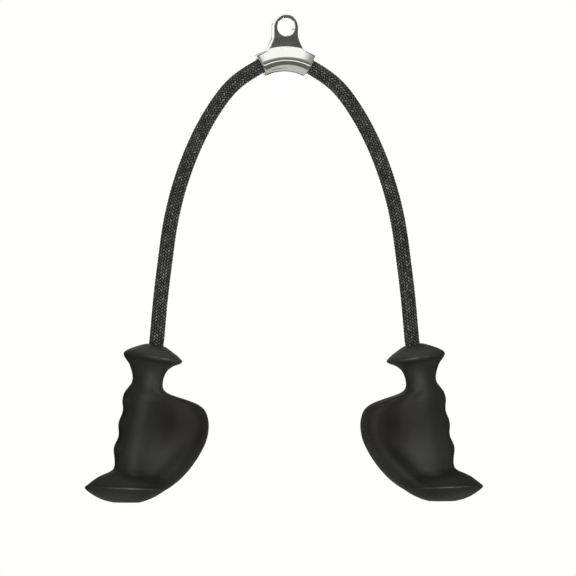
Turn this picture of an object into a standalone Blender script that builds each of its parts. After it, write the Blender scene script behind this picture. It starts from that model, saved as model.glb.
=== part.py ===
"""Triceps rope attachment for a cable machine, hanging at rest from its eye.

The middle of one braided rope runs through the arched bore of a cast steel hanger, under the thick
lug that carries the eye.  Each end of the rope runs down through a moulded grip and ends in a crimped
ferrule, in a pocket that a plug closes.  Metres, +Z up, X across the two grips, origin at the eye.
"""

import math

import bmesh
import bpy
import numpy as np
from mathutils import Matrix, Vector

MM = 0.001
DEG = math.pi / 180
MERGE = 0.001 * MM

# Rope: a braided sheath over a laid core
ROPE_DIAMETER = 15.0 * MM
SHEATH_WALL = 2.0 * MM
SEAT_GAP = 0.3 * MM
ROPE_SIDES_RESOLUTION = 4
CORE_SIDES_RESOLUTION = 2
LEG_POINTS = 20
LEG_POINT_CROWDING = 1.35
ARCH_POINTS = 8
TAIL_LEAD = 1.0 * MM

# The left leg's centreline, from the hanger's mouth to the grip: outwards and upwards from the eye
LEG_ROUTE = (
    (38.2 * MM, -46.8 * MM),
    (47.8 * MM, -53.4 * MM),
    (59.0 * MM, -64.3 * MM),
    (68.5 * MM, -76.8 * MM),
    (83.1 * MM, -100.6 * MM),
    (94.7 * MM, -124.6 * MM),
    (103.9 * MM, -148.5 * MM),
    (111.2 * MM, -172.6 * MM),
    (116.6 * MM, -196.8 * MM),
    (121.8 * MM, -232.8 * MM),
    (126.3 * MM, -268.8 * MM),
    (129.5 * MM, -303.0 * MM),
)
GRIP_MOUTH = (130.8 * MM, -317.0 * MM)
GRIP_TILT = 11.0 * DEG
GRIP_MOUTH_LEAN = 7.7 * DEG

# Hanger: a saddle that arches over the rope, with a thick lug that runs out in a rim along its top
ARCH_RADIUS = 53.0 * MM
CROWN_DROP = 32.7 * MM
ARCH_HALF_ANGLE = 28.0 * DEG
ARCH_STEPS = 18
SADDLE_WALL = 3.7 * MM
SADDLE_STEPS = 20
SADDLE_TOP = 15.3 * MM
SADDLE_FALL = 5.6 * MM
FALL_START_SHARE = 0.46
SADDLE_END_ROUND = 1.0 * MM
END_ROUND_STEPS = 3
LUG_THICKNESS = 15.5 * MM
LUG_EDGE_ROUND = 1.0 * MM
LUG_HALF_WIDTH = 12.1 * MM
LUG_CROWN = 12.9 * MM
LUG_STRAIGHT = 8.0 * MM
LUG_FOOT_HALF = 18.2 * MM
LUG_FLARE_POWER = 1.5
LUG_STEPS = 40
LUG_SINK = 0.4 * MM
EYE_RADIUS = 9.1 * MM
EYE_STEPS = 40
RIM_RISE = 12.5 * MM
RIM_END_RISE = 11.2 * MM
RIM_LEAD = 1.2 * MM
RIM_LIP = 0.4 * MM
RIM_INSET = 0.3 * MM
RIM_FOOT = 8.5 * MM

# Grip: one moulding, the same on both sides
GRIP_LENGTH = 162.9 * MM
LEDGE_REACH = 43.9 * MM
PALM_REACH = 68.4 * MM
GRIP_HALF_DEPTH = 28.0 * MM
DISH_DEPTH = 5.0 * MM
GROOVE_DEPTH = 2.4 * MM
FIRST_RIDGE = 59.0 * MM
FINGER_PITCH = 25.0 * MM
GROOVES = 3
OUTER_STEPS = 6
INNER_STEPS = 10
BORE_CLEARANCE = 0.4 * MM
MOUTH_CHAMFER = 1.2 * MM
POCKET_RADIUS = 11.0 * MM
POCKET_DEPTH = 32.0 * MM

# Rope end inside the grip
FERRULE_WALL = 2.1 * MM
FERRULE_LENGTH = 18.0 * MM
FERRULE_BASE = 2.0 * MM
CRIMP_DEPTH = 0.5 * MM
CRIMP_WIDTH = 3.0 * MM
CRIMPS = 3
WASHER_THICKNESS = 2.0 * MM
PLUG_SKIRT = 3.0 * MM
PLUG_WALL = 2.0 * MM
PLUG_GAP = 1.0 * MM
PLUG_FACE = 2.4 * MM

ROUND_STEPS = 28
OVERRUN = 5.0 * MM
SMOOTH_ANGLE = 35 * DEG

# One row for each cross-section of the grip, top to foot.  The first four columns place its two ends
# in the grip's mid-plane: finger side down the grip and outwards, palm side down the grip and inwards.
# Then come the half depths of the spine and of the palm's rim, how much of the dish it has, and how
# much of the palm side its rounded rim takes.
GRIP_SECTION_SHARES = (
    (0.000, 0.250, 0.000, 0.160, 0.39, 0.39, 0.00, 1.00),
    (0.018, 0.365, 0.018, 0.228, 0.56, 0.56, 0.00, 1.00),
    (0.043, 0.530, 0.043, 0.345, 0.74, 0.74, 0.00, 1.00),
    (0.067, 0.650, 0.064, 0.409, 0.86, 0.86, 0.00, 1.00),
    (0.088, 0.698, 0.076, 0.421, 0.89, 0.89, 0.00, 1.00),
    (0.106, 0.679, 0.092, 0.388, 0.85, 0.85, 0.00, 1.00),
    (0.123, 0.623, 0.110, 0.313, 0.75, 0.75, 0.00, 1.00),
    (0.147, 0.533, 0.138, 0.243, 0.63, 0.63, 0.00, 1.00),
    (0.175, 0.470, 0.169, 0.209, 0.56, 0.56, 0.00, 1.00),
    (0.206, 0.414, 0.203, 0.196, 0.53, 0.53, 0.00, 1.00),
    (0.236, 0.387, 0.233, 0.200, 0.53, 0.53, 0.00, 1.00),
    (0.261, 0.396, 0.258, 0.222, 0.55, 0.55, 0.00, 1.00),
    (0.279, 0.428, 0.276, 0.278, 0.58, 0.55, 0.00, 0.95),
    (0.295, 0.460, 0.287, 0.388, 0.61, 0.50, 0.10, 0.75),
    (0.307, 0.486, 0.296, 0.567, 0.63, 0.46, 0.30, 0.48),
    (0.322, 0.510, 0.307, 0.731, 0.65, 0.45, 0.60, 0.34),
    (0.341, 0.524, 0.323, 0.836, 0.66, 0.46, 0.85, 0.27),
    (0.365, 0.530, 0.345, 0.904, 0.67, 0.47, 1.00, 0.24),
    (0.399, 0.528, 0.378, 0.952, 0.68, 0.48, 1.00, 0.22),
    (0.436, 0.526, 0.417, 0.985, 0.68, 0.49, 1.00, 0.22),
    (0.473, 0.522, 0.460, 1.000, 0.68, 0.50, 1.00, 0.22),
    (0.510, 0.514, 0.503, 1.000, 0.68, 0.51, 1.00, 0.22),
    (0.549, 0.514, 0.546, 0.985, 0.68, 0.52, 1.00, 0.22),
    (0.589, 0.514, 0.589, 0.955, 0.68, 0.53, 1.00, 0.22),
    (0.632, 0.514, 0.632, 0.919, 0.68, 0.54, 1.00, 0.23),
    (0.672, 0.514, 0.675, 0.873, 0.68, 0.55, 0.95, 0.24),
    (0.712, 0.510, 0.712, 0.830, 0.67, 0.57, 0.90, 0.26),
    (0.746, 0.495, 0.743, 0.785, 0.66, 0.59, 0.80, 0.29),
    (0.777, 0.457, 0.767, 0.748, 0.66, 0.61, 0.65, 0.33),
    (0.801, 0.452, 0.787, 0.713, 0.67, 0.64, 0.50, 0.38),
    (0.821, 0.516, 0.803, 0.684, 0.70, 0.68, 0.35, 0.44),
    (0.838, 0.612, 0.815, 0.657, 0.74, 0.72, 0.20, 0.52),
    (0.861, 0.733, 0.828, 0.630, 0.81, 0.78, 0.10, 0.60),
    (0.890, 0.844, 0.839, 0.604, 0.89, 0.85, 0.00, 0.70),
    (0.921, 0.944, 0.850, 0.576, 0.96, 0.92, 0.00, 0.80),
    (0.940, 1.000, 0.859, 0.551, 1.00, 0.96, 0.00, 0.88),
    (0.955, 0.963, 0.875, 0.510, 0.97, 0.95, 0.00, 0.92),
    (0.973, 0.828, 0.900, 0.448, 0.88, 0.88, 0.00, 1.00),
    (0.990, 0.651, 0.927, 0.367, 0.76, 0.76, 0.00, 1.00),
    (0.998, 0.477, 0.952, 0.275, 0.63, 0.63, 0.00, 1.00),
    (1.000, 0.300, 0.970, 0.188, 0.47, 0.47, 0.00, 1.00),
)

MATERIALS = {
    "chrome": ((0.72, 0.73, 0.74, 1.0), 0.12, 1.0),
    "rope_sheath": ((0.018, 0.018, 0.020, 1.0), 0.80, 0.0),
    "rope_core": ((0.42, 0.40, 0.36, 1.0), 0.85, 0.0),
    "grip_rubber": ((0.024, 0.023, 0.021, 1.0), 0.52, 0.0),
    "ferrule_steel": ((0.45, 0.46, 0.47, 1.0), 0.35, 1.0),
    "washer_nylon": ((0.70, 0.69, 0.64, 1.0), 0.45, 0.0),
    "plug_plastic": ((0.020, 0.020, 0.019, 1.0), 0.45, 0.0),
}


def rope_radius():
    return ROPE_DIAMETER / 2


def bore_radius():
    return rope_radius() + BORE_CLEARANCE


def saddle_bore_radius():
    """Inside radius of the saddle, which seats on the rope."""
    return rope_radius() + SEAT_GAP


def arch_centre():
    return Vector((0, 0, -CROWN_DROP - ARCH_RADIUS))


def arch_point(angle):
    """A point on the rope's arch, at an angle outwards to the left of the top."""
    return arch_centre() + Vector((-math.sin(angle), 0, math.cos(angle))) * ARCH_RADIUS


def hanger_mouth():
    return arch_point(ARCH_HALF_ANGLE)


def grip_mouth():
    return Vector((-GRIP_MOUTH[0], 0, GRIP_MOUTH[1]))


# Scene, materials and small helpers
def clear_scene():
    for obj in list(bpy.data.objects):
        bpy.data.objects.remove(obj, do_unlink=True)


def new_collection(name):
    collection = bpy.data.collections.new(name)
    bpy.context.scene.collection.children.link(collection)
    return collection


def new_material(name):
    colour, roughness, metallic = MATERIALS[name]
    material = bpy.data.materials.new(name)
    material.use_nodes = True
    shader = material.node_tree.nodes["Principled BSDF"]
    shader.inputs["Base Color"].default_value = colour
    shader.inputs["Roughness"].default_value = roughness
    shader.inputs["Metallic"].default_value = metallic
    material.diffuse_color = colour
    return material


class Bench:
    """The collections and materials that the pieces are made with."""

    def __init__(self):
        self.parts = new_collection("triceps_rope_attachment")
        self.cutters = new_collection("cutters")
        self.materials = {name: new_material(name) for name in MATERIALS}

    def piece(self, name, mesh, material, parent=None):
        """A visible piece; a mesh that is already dressed keeps its material."""
        if not mesh.materials:
            mesh.materials.append(self.materials[material])
        mesh.shade_smooth()
        mesh.set_sharp_from_angle(angle=SMOOTH_ANGLE)
        obj = bpy.data.objects.new(name, mesh)
        obj.parent = parent
        self.parts.objects.link(obj)
        return obj

    def cutter(self, name, mesh):
        obj = bpy.data.objects.new(name, mesh)
        obj.hide_render = True
        obj.display_type = "WIRE"
        self.cutters.objects.link(obj)
        return obj

    def empty(self, name, parent=None, location=(0, 0, 0), turn=(0, 0, 0)):
        obj = bpy.data.objects.new(name, None)
        obj.parent = parent
        obj.location = location
        obj.rotation_euler = turn
        self.parts.objects.link(obj)
        return obj


def boolean(obj, operation, other):
    modifier = obj.modifiers.new(operation.title() + "_" + other.name, "BOOLEAN")
    modifier.operation = operation
    modifier.solver = "EXACT"
    modifier.object = other


def settle(obj):
    """The mesh that an object's modifiers make, with the object and its data removed."""
    graph = bpy.context.evaluated_depsgraph_get()
    graph.update()
    mesh = bpy.data.meshes.new_from_object(obj.evaluated_get(graph))
    bpy.data.objects.remove(obj, do_unlink=True)
    return mesh


def mesh_of(bm, name):
    bmesh.ops.recalc_face_normals(bm, faces=bm.faces[:])
    mesh = bpy.data.meshes.new(name)
    bm.to_mesh(mesh)
    bm.free()
    return mesh


def weld(mesh):
    bm = bmesh.new()
    bm.from_mesh(mesh)
    bmesh.ops.remove_doubles(bm, verts=bm.verts[:], dist=MERGE)
    bm.to_mesh(mesh)
    bm.free()
    return mesh


def spun(bench, name, profile):
    """A turned solid about the Z axis, from (radius, height) points in a ring or from axis to axis."""
    mesh = bpy.data.meshes.new(name)
    closed = any(radius == 0 for radius, _ in profile)
    edges = [(i, i + 1) for i in range(len(profile) - 1)]
    if not closed:
        edges.append((len(profile) - 1, 0))
    mesh.from_pydata([(radius, 0, height) for radius, height in profile], edges, [])
    obj = bpy.data.objects.new(name, mesh)
    bench.parts.objects.link(obj)
    screw = obj.modifiers.new("Screw", "SCREW")
    screw.axis = "Z"
    screw.steps = ROUND_STEPS
    screw.render_steps = ROUND_STEPS
    screw.use_merge_vertices = True
    screw.merge_threshold = MERGE
    turned = settle(obj)
    bm = bmesh.new()
    bm.from_mesh(turned)
    bmesh.ops.remove_doubles(bm, verts=bm.verts[:], dist=MERGE)
    return mesh_of(bm, name)


# Rope
def smooth_curve(route, start_direction, end_direction, shares):
    """Points at shares of the way along a smooth curve through a route, with its end directions set."""
    points = np.array([tuple(p) for p in route])
    steps = np.linalg.norm(np.diff(points, axis=0), axis=1)
    knots = np.concatenate([[0], np.cumsum(steps)])
    chords = np.diff(points, axis=0) / steps[:, None]
    slopes = np.empty_like(points)
    slopes[0] = tuple(start_direction)
    slopes[-1] = tuple(end_direction)
    before, after = steps[:-1, None], steps[1:, None]
    slopes[1:-1] = (chords[:-1] * after + chords[1:] * before) / (before + after)
    found = []
    for share in shares:
        at = share * knots[-1]
        k = min(int(np.searchsorted(knots, at, side="right")) - 1, len(steps) - 1)
        t = (at - knots[k]) / steps[k]
        rise = t * t * (3 - 2 * t)
        found.append(
            Vector(
                points[k] * (1 - rise)
                + points[k + 1] * rise
                + slopes[k] * steps[k] * t * (1 - t) ** 2
                - slopes[k + 1] * steps[k] * t * t * (1 - t)
            )
        )
    return found


def tube_mesh(name, points, radius, resolution, capped):
    """The mesh of a curve with a round bevel."""
    curve = bpy.data.curves.new(name, "CURVE")
    curve.dimensions = "3D"
    curve.bevel_depth = radius
    curve.bevel_resolution = resolution
    curve.use_fill_caps = capped
    spline = curve.splines.new("POLY")
    spline.points.add(len(points) - 1)
    for point, place in zip(spline.points, points):
        point.co = (*place, 1)
    obj = bpy.data.objects.new(name, curve)
    bpy.context.scene.collection.objects.link(obj)
    graph = bpy.context.evaluated_depsgraph_get()
    mesh = bpy.data.meshes.new_from_object(obj.evaluated_get(graph))
    bpy.data.objects.remove(obj, do_unlink=True)
    bpy.data.curves.remove(curve)
    return weld(mesh)


def rope_meshes(name, points):
    """Sheath and core of one stretch of the rope."""
    sheath = tube_mesh(name + "_sheath", points, rope_radius(), ROPE_SIDES_RESOLUTION, False)
    core_radius = rope_radius() - SHEATH_WALL - SEAT_GAP
    core = tube_mesh(name + "_core", points, core_radius, CORE_SIDES_RESOLUTION, True)
    return sheath, core


def add_rope(bench, stretch, side, meshes, parent):
    """One stretch of the rope, whose sheath is an open tube thickened inwards."""
    sheath = bench.piece(f"rope_sheath_{stretch}{side}", meshes[0], "rope_sheath", parent)
    wall = sheath.modifiers.new("Solidify", "SOLIDIFY")
    wall.thickness = SHEATH_WALL
    wall.offset = -1
    wall.use_even_offset = True
    bench.piece(f"rope_core_{stretch}{side}", meshes[1], "rope_core", parent)


def arch_points():
    """The arch held in the hanger, with a short lead at each end that keeps its end faces square."""
    lead = TAIL_LEAD / ARCH_RADIUS
    half = ARCH_HALF_ANGLE - SEAT_GAP / 2 / ARCH_RADIUS
    angles = [-half, *np.linspace(-half + lead, half - lead, ARCH_POINTS), half]
    return [arch_point(angle) for angle in angles]


def leg_points():
    """The left leg from the hanger's mouth to the grip's, crowded where it bends most."""
    start = hanger_mouth()
    start_direction = Vector((-math.cos(ARCH_HALF_ANGLE), 0, -math.sin(ARCH_HALF_ANGLE)))
    end_direction = Vector((-math.sin(GRIP_MOUTH_LEAN), 0, -math.cos(GRIP_MOUTH_LEAN)))
    first = start + start_direction * SEAT_GAP / 2
    last = grip_mouth() - end_direction * SEAT_GAP / 2
    route = [first, *[Vector((-out, 0, up)) for out, up in LEG_ROUTE], last]
    shares = np.linspace(0, 1, LEG_POINTS) ** LEG_POINT_CROWDING
    length = sum((b - a).length for a, b in zip(route, route[1:]))
    lead = TAIL_LEAD / length
    shares = [0, lead, *shares[1:-1], 1 - lead, 1]
    return smooth_curve(route, start_direction, end_direction, shares)


def tail_points():
    """The straight tail in the grip's bore, down its axis from the mouth to the ferrule's base."""
    start = tail_start()
    end = ferrule_top() + FERRULE_LENGTH - FERRULE_BASE - SEAT_GAP
    return [Vector((0, 0, -at)) for at in (start, (start + end) / 2, end)]


def tail_start():
    """Far enough down the bore that the tail's square end clears the leg's, which meets it at an angle."""
    bend = GRIP_TILT - GRIP_MOUTH_LEAN
    return SEAT_GAP + rope_radius() * math.sin(bend)


# Hanger
def tangent_angle(radius, height, half):
    """Where a line from the point at this height and half width touches the circle, from the vertical."""
    return math.atan2(half, height) + math.acos(radius / math.hypot(height, half))


def saddle_top(angle):
    """Height of the saddle's top over the rope's centre: level under the lug, falling to the two mouths."""
    past = (abs(angle) / ARCH_HALF_ANGLE - FALL_START_SHARE) / (1 - FALL_START_SHARE)
    left = 1 - min(max(past, 0), 1)
    return SADDLE_TOP - SADDLE_FALL * (1 - left * left)


def saddle_section(angle, inset):
    """The saddle's outline: round under the rope, with straight flanks that lean in to the lug above it."""
    radius = saddle_bore_radius() + SADDLE_WALL - inset
    height = saddle_top(angle) - inset
    half = LUG_THICKNESS / 2 - LUG_SINK - inset
    touch = tangent_angle(radius, height, half)
    angles = np.linspace(touch, 2 * math.pi - touch, SADDLE_STEPS)
    outline = [(radius * math.cos(a), radius * math.sin(a)) for a in angles]
    return [(height, half), *outline, (height, -half)]


def saddle_stations():
    """Pairs of an angle along the arch and an inset, which rounds the edges of the two end faces."""
    ends = []
    for step in range(END_ROUND_STEPS):
        turn = math.pi / 2 * step / END_ROUND_STEPS
        back = SADDLE_END_ROUND * (1 - math.cos(turn)) / ARCH_RADIUS
        ends.append((ARCH_HALF_ANGLE - back, SADDLE_END_ROUND * (1 - math.sin(turn))))
    inner = ARCH_HALF_ANGLE - SADDLE_END_ROUND / ARCH_RADIUS
    middle = [(angle, 0) for angle in np.linspace(-inner, inner, ARCH_STEPS)]
    return [(-angle, inset) for angle, inset in ends] + middle + ends[::-1]


def arch_loft(name, stations, section):
    """Sections of (height over the rope's centre, y) points, lofted along the rope's arch."""
    bm = bmesh.new()
    rings = []
    for angle, inset in stations:
        turn = Matrix.Translation(arch_centre()) @ Matrix.Rotation(angle, 4, "Y")
        outline = [Vector((0, across, ARCH_RADIUS + height)) for height, across in section(angle, inset)]
        rings.append([bm.verts.new(turn @ point) for point in outline])
    for one, two in zip(rings, rings[1:]):
        for i in range(len(one)):
            j = (i + 1) % len(one)
            bm.faces.new((one[i], one[j], two[j], two[i]))
    bm.faces.new(rings[0])
    bm.faces.new(rings[-1])
    return mesh_of(bm, name)


def bore_section(_angle, inset):
    """The round bore that the rope lies in; a negative inset flares it."""
    radius = saddle_bore_radius() - inset
    angles = np.linspace(0, 2 * math.pi, SADDLE_STEPS, endpoint=False)
    return [(radius * math.cos(a), radius * math.sin(a)) for a in angles]


def bore_stations():
    """Stations of the bore, which runs out past both end faces."""
    past = ARCH_HALF_ANGLE + OVERRUN / ARCH_RADIUS
    return [(angle, 0) for angle in np.linspace(-past, past, ARCH_STEPS)]


def lug_foot_angle():
    """Where the lug's flank runs out in the rim, along the arch."""
    return math.asin(LUG_FOOT_HALF / (ARCH_RADIUS + RIM_RISE))


def rim_rise(angle):
    """Height of the rim over the rope's centre, which falls from the lug's foot to the two mouths."""
    past = (angle - lug_foot_angle()) / (ARCH_HALF_ANGLE - lug_foot_angle())
    return RIM_RISE + (RIM_END_RISE - RIM_RISE) * past


def over_arch(angle, height):
    """The (x, z) of a point at this height over the rope's centre, along the arch to the right."""
    radius = ARCH_RADIUS + height
    return radius * math.sin(angle), arch_centre().z + radius * math.cos(angle)


def lug_outline():
    """Outline of the lug and of the rim that runs along the saddle's top, as (x, z) points."""
    right = []
    for angle in np.linspace(math.pi / 2, 0, LUG_STEPS // 4 + 1):
        right.append((LUG_HALF_WIDTH * math.cos(angle), LUG_CROWN * math.sin(angle)))
    foot = over_arch(lug_foot_angle(), RIM_RISE + RIM_LIP)
    flare = foot[0] - LUG_HALF_WIDTH
    fall = foot[1] + LUG_STRAIGHT
    for share in np.linspace(0, 1, LUG_STEPS // 6):
        right.append((LUG_HALF_WIDTH + flare * share**LUG_FLARE_POWER, fall * share - LUG_STRAIGHT))
    end = ARCH_HALF_ANGLE + OVERRUN / ARCH_RADIUS
    start = lug_foot_angle() + RIM_LEAD / ARCH_RADIUS
    right.extend(over_arch(angle, rim_rise(angle)) for angle in np.linspace(start, end, LUG_STEPS // 4))
    right.extend(over_arch(angle, RIM_FOOT) for angle in np.linspace(end, 0, LUG_STEPS // 3))
    left = [(-x, z) for x, z in right[1:-1]]
    return right + left[::-1]


def lug_mesh():
    """The lug and its rim as one plate with rounded edges, longer than the saddle."""
    curve = bpy.data.curves.new("lug_outline", "CURVE")
    curve.dimensions = "2D"
    curve.fill_mode = "BOTH"
    curve.extrude = LUG_THICKNESS / 2 - LUG_EDGE_ROUND
    curve.bevel_depth = LUG_EDGE_ROUND
    curve.bevel_resolution = 2
    curve.offset = -LUG_EDGE_ROUND
    outline = lug_outline()
    spline = curve.splines.new("POLY")
    spline.points.add(len(outline) - 1)
    spline.use_cyclic_u = True
    for point, (x, z) in zip(spline.points, outline):
        point.co = (x, z, 0, 1)
    obj = bpy.data.objects.new("lug_outline", curve)
    bpy.context.scene.collection.objects.link(obj)
    mesh = settle(obj)
    bpy.data.curves.remove(curve)
    mesh.transform(Matrix.Rotation(math.pi / 2, 4, "X"))
    return weld(mesh)


def end_block(sign):
    """A block that squares off the rim's end, across the rope and just inside the saddle's end face."""
    side = ARCH_RADIUS
    bm = bmesh.new()
    bmesh.ops.create_cube(bm, size=2 * side)
    place = Matrix.Translation((sign * (side - RIM_INSET), 0, ARCH_RADIUS))
    turn = Matrix.Rotation(sign * ARCH_HALF_ANGLE, 4, "Y")
    bmesh.ops.transform(bm, matrix=Matrix.Translation(arch_centre()) @ turn @ place, verts=bm.verts[:])
    return mesh_of(bm, "end_block")


def eye_cutter():
    """The eye's cylinder, along Y."""
    bm = bmesh.new()
    bmesh.ops.create_cone(
        bm,
        cap_ends=True,
        segments=EYE_STEPS,
        radius1=EYE_RADIUS,
        radius2=EYE_RADIUS,
        depth=LUG_THICKNESS + 2 * OVERRUN,
        matrix=Matrix.Rotation(math.pi / 2, 4, "X"),
    )
    return mesh_of(bm, "eye")


def add_hanger(bench):
    """Saddle and lug as one casting, with the rope's bore along the arch and the eye through the lug."""
    saddle = arch_loft("hanger_casting", saddle_stations(), saddle_section)
    hanger = bench.piece("hanger_casting", saddle, "chrome")
    lug = bench.cutter("lug", lug_mesh())
    for name, sign in (("end_left", -1), ("end_right", 1)):
        boolean(lug, "DIFFERENCE", bench.cutter(name, end_block(sign)))
    boolean(hanger, "UNION", lug)
    bore = arch_loft("saddle_bore", bore_stations(), bore_section)
    boolean(hanger, "DIFFERENCE", bench.cutter("saddle_bore", bore))
    boolean(hanger, "DIFFERENCE", bench.cutter("eye", eye_cutter()))


# Grip
def smoothstep(t):
    return t * t * (3 - 2 * t)


def groove_at(down):
    """How far the finger grooves cut in, at this distance down the grip."""
    past = (down - FIRST_RIDGE) / FINGER_PITCH
    if past < 0 or past > GROOVES:
        return 0
    return GROOVE_DEPTH * math.sin(math.pi * past) ** 2


def half_depth(inwards, reach, spine, rim, dish, rim_round):
    """Half the palm side's thickness, at a distance inwards from the grip's axis."""
    rounded = reach * rim_round
    flat = reach - rounded
    if inwards >= flat:
        over = min((inwards - flat) / rounded, 1)
        return rim * math.sqrt(1 - over * over)
    t = inwards / flat
    return spine + (rim - spine) * smoothstep(t) - dish * math.sin(math.pi * t) ** 2


def section_ring(row):
    """One cross-section's points, round from the finger side to the palm side and back."""
    outer_down, outer_reach, inner_down, inner_reach, spine, rim, dish, rim_round = row
    outer = Vector((0, 0, -outer_down * GRIP_LENGTH))
    outer.x = groove_at(-outer.z) - outer_reach * LEDGE_REACH
    inner = Vector((inner_reach * PALM_REACH, 0, -inner_down * GRIP_LENGTH))
    spine, rim, dish = spine * GRIP_HALF_DEPTH, rim * GRIP_HALF_DEPTH, dish * DISH_DEPTH
    half = []
    for step in range(OUTER_STEPS):
        angle = math.pi / 2 * step / OUTER_STEPS
        half.append((outer.x * math.cos(angle), spine * math.sin(angle)))
    for step in range(INNER_STEPS + 1):
        inwards = inner.x * math.sin(math.pi / 2 * step / INNER_STEPS)
        half.append((inwards, half_depth(inwards, inner.x, spine, rim, dish, rim_round)))
    ring = half + [(x, -y) for x, y in half[1:-1][::-1]]
    slope = (inner.z - outer.z) / (inner.x - outer.x)
    return [(x, y, outer.z + (x - outer.x) * slope) for x, y in ring]


def grip_body():
    """The grip without its bore: a loft through its cross-sections, from the mouth to the foot."""
    bm = bmesh.new()
    rings = [[bm.verts.new(p) for p in section_ring(row)] for row in GRIP_SECTION_SHARES]
    count = len(rings[0])
    for upper, lower in zip(rings, rings[1:]):
        for i in range(count):
            j = (i + 1) % count
            bm.faces.new((upper[i], upper[j], lower[j], lower[i]))
    bm.faces.new(rings[0])
    bm.faces.new(rings[-1])
    return mesh_of(bm, "grip")


def pocket_floor():
    """How far down the grip its pocket begins."""
    return GRIP_LENGTH - POCKET_DEPTH


def washer_top():
    return pocket_floor() + SEAT_GAP


def ferrule_top():
    return washer_top() + WASHER_THICKNESS + SEAT_GAP


def plug_top():
    return ferrule_top() + FERRULE_LENGTH + PLUG_GAP


def bore_cutter(bench):
    """The rope's bore, its chamfered mouth and the pocket at the foot, cut as one turned tool."""
    radius = bore_radius()
    wide = radius + MOUTH_CHAMFER
    floor = -pocket_floor()
    end = -GRIP_LENGTH - OVERRUN
    profile = [
        (0, OVERRUN),
        (wide + OVERRUN - MOUTH_CHAMFER, OVERRUN),
        (radius, -MOUTH_CHAMFER),
        (radius, floor),
        (POCKET_RADIUS, floor),
        (POCKET_RADIUS, end),
        (0, end),
    ]
    return spun(bench, "grip_bore", profile)


def foot_line():
    """The two ends of the foot's flat, in the grip's mid-plane."""
    outer_down, outer_reach, inner_down, inner_reach = GRIP_SECTION_SHARES[-1][:4]
    outer = Vector((-outer_reach * LEDGE_REACH, 0, -outer_down * GRIP_LENGTH))
    inner = Vector((inner_reach * PALM_REACH, 0, -inner_down * GRIP_LENGTH))
    return outer, inner


def foot_block():
    """A block under the foot's flat, whose top face lies in it."""
    outer, inner = foot_line()
    along = inner - outer
    middle = outer - along * (outer.x / along.x)
    side = 2 * POCKET_RADIUS
    bm = bmesh.new()
    bmesh.ops.create_cube(bm, size=2 * side)
    turn = Matrix.Rotation(-math.atan2(along.z, along.x), 4, "Y")
    place = Matrix.Translation(middle) @ turn @ Matrix.Translation((0, 0, -side))
    bmesh.ops.transform(bm, matrix=place, verts=bm.verts[:])
    return mesh_of(bm, "foot_block")


def plug_mesh(bench):
    """The plug before its face is trimmed to the foot: a short cup, open towards the ferrule."""
    radius = POCKET_RADIUS - SEAT_GAP
    top = -plug_top()
    profile = [
        (0, top - PLUG_SKIRT),
        (radius - PLUG_WALL, top - PLUG_SKIRT),
        (radius - PLUG_WALL, top),
        (radius, top),
        (radius, -GRIP_LENGTH - PLUG_FACE),
        (0, -GRIP_LENGTH - PLUG_FACE),
    ]
    return spun(bench, "plug", profile)


def ferrule_mesh(bench):
    """A cup crimped on the rope's end, with a row of shallow crimp rings."""
    inner = rope_radius() + SEAT_GAP
    outer = inner + FERRULE_WALL
    top = -ferrule_top()
    base = top - FERRULE_LENGTH
    pitch = FERRULE_LENGTH / (CRIMPS + 1)
    profile = [(0, base + FERRULE_BASE), (inner, base + FERRULE_BASE), (inner, top), (outer, top)]
    for crimp in range(1, CRIMPS + 1):
        middle = top - crimp * pitch
        profile.append((outer, middle + CRIMP_WIDTH / 2))
        profile.append((outer - CRIMP_DEPTH, middle + CRIMP_WIDTH / 4))
        profile.append((outer - CRIMP_DEPTH, middle - CRIMP_WIDTH / 4))
        profile.append((outer, middle - CRIMP_WIDTH / 2))
    profile.append((outer, base))
    profile.append((0, base))
    return spun(bench, "ferrule", profile)


def washer_mesh(bench):
    """The ring that the ferrule bears on when the grip is pulled."""
    inner = bore_radius()
    outer = POCKET_RADIUS - SEAT_GAP
    top = -washer_top()
    bottom = top - WASHER_THICKNESS
    return spun(bench, "washer", [(inner, top), (outer, top), (outer, bottom), (inner, bottom)])


def grip_mesh(bench):
    """The finished grip."""
    grip = bpy.data.objects.new("grip", grip_body())
    bench.parts.objects.link(grip)
    boolean(grip, "DIFFERENCE", bench.cutter("grip_bore", bore_cutter(bench)))
    return settle(grip)


def trimmed_plug(bench):
    plug = bpy.data.objects.new("plug", plug_mesh(bench))
    bench.parts.objects.link(plug)
    boolean(plug, "DIFFERENCE", bench.cutter("foot_block", foot_block()))
    return settle(plug)


def main():
    clear_scene()
    bench = Bench()
    add_hanger(bench)
    add_rope(bench, "arch", "", rope_meshes("rope_arch", arch_points()), None)
    mouth = hanger_mouth()
    leg = rope_meshes("rope_leg", [point - mouth for point in leg_points()])
    tail = rope_meshes("rope_tail", tail_points())
    grip = grip_mesh(bench)
    plug = trimmed_plug(bench)
    ferrule = ferrule_mesh(bench)
    washer = washer_mesh(bench)
    for side, turn in (("_left", 0), ("_right", math.pi)):
        half = bench.empty("half" + side, None, (0, 0, 0), (0, 0, turn))
        leg_joint = bench.empty("leg_joint" + side, half, mouth)
        grip_joint = bench.empty("grip_joint" + side, half, grip_mouth(), (0, GRIP_TILT, 0))
        add_rope(bench, "leg", side, leg, leg_joint)
        add_rope(bench, "tail", side, tail, grip_joint)
        bench.piece("ferrule" + side, ferrule, "ferrule_steel", grip_joint)
        bench.piece("thrust_washer" + side, washer, "washer_nylon", grip_joint)
        bench.piece("grip" + side, grip, "grip_rubber", grip_joint)
        bench.piece("foot_plug" + side, plug, "plug_plastic", grip_joint)


main()
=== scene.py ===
"""Triceps rope attachment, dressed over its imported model: braided rope, chromed hanger, rubber grips.

The rope is one braided length, cut into stretches where a joint crosses it.  Everything is in metres,
in the model's own frame: +Z up, X across the two grips, the origin at the centre of the hanger's eye.
"""

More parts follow.
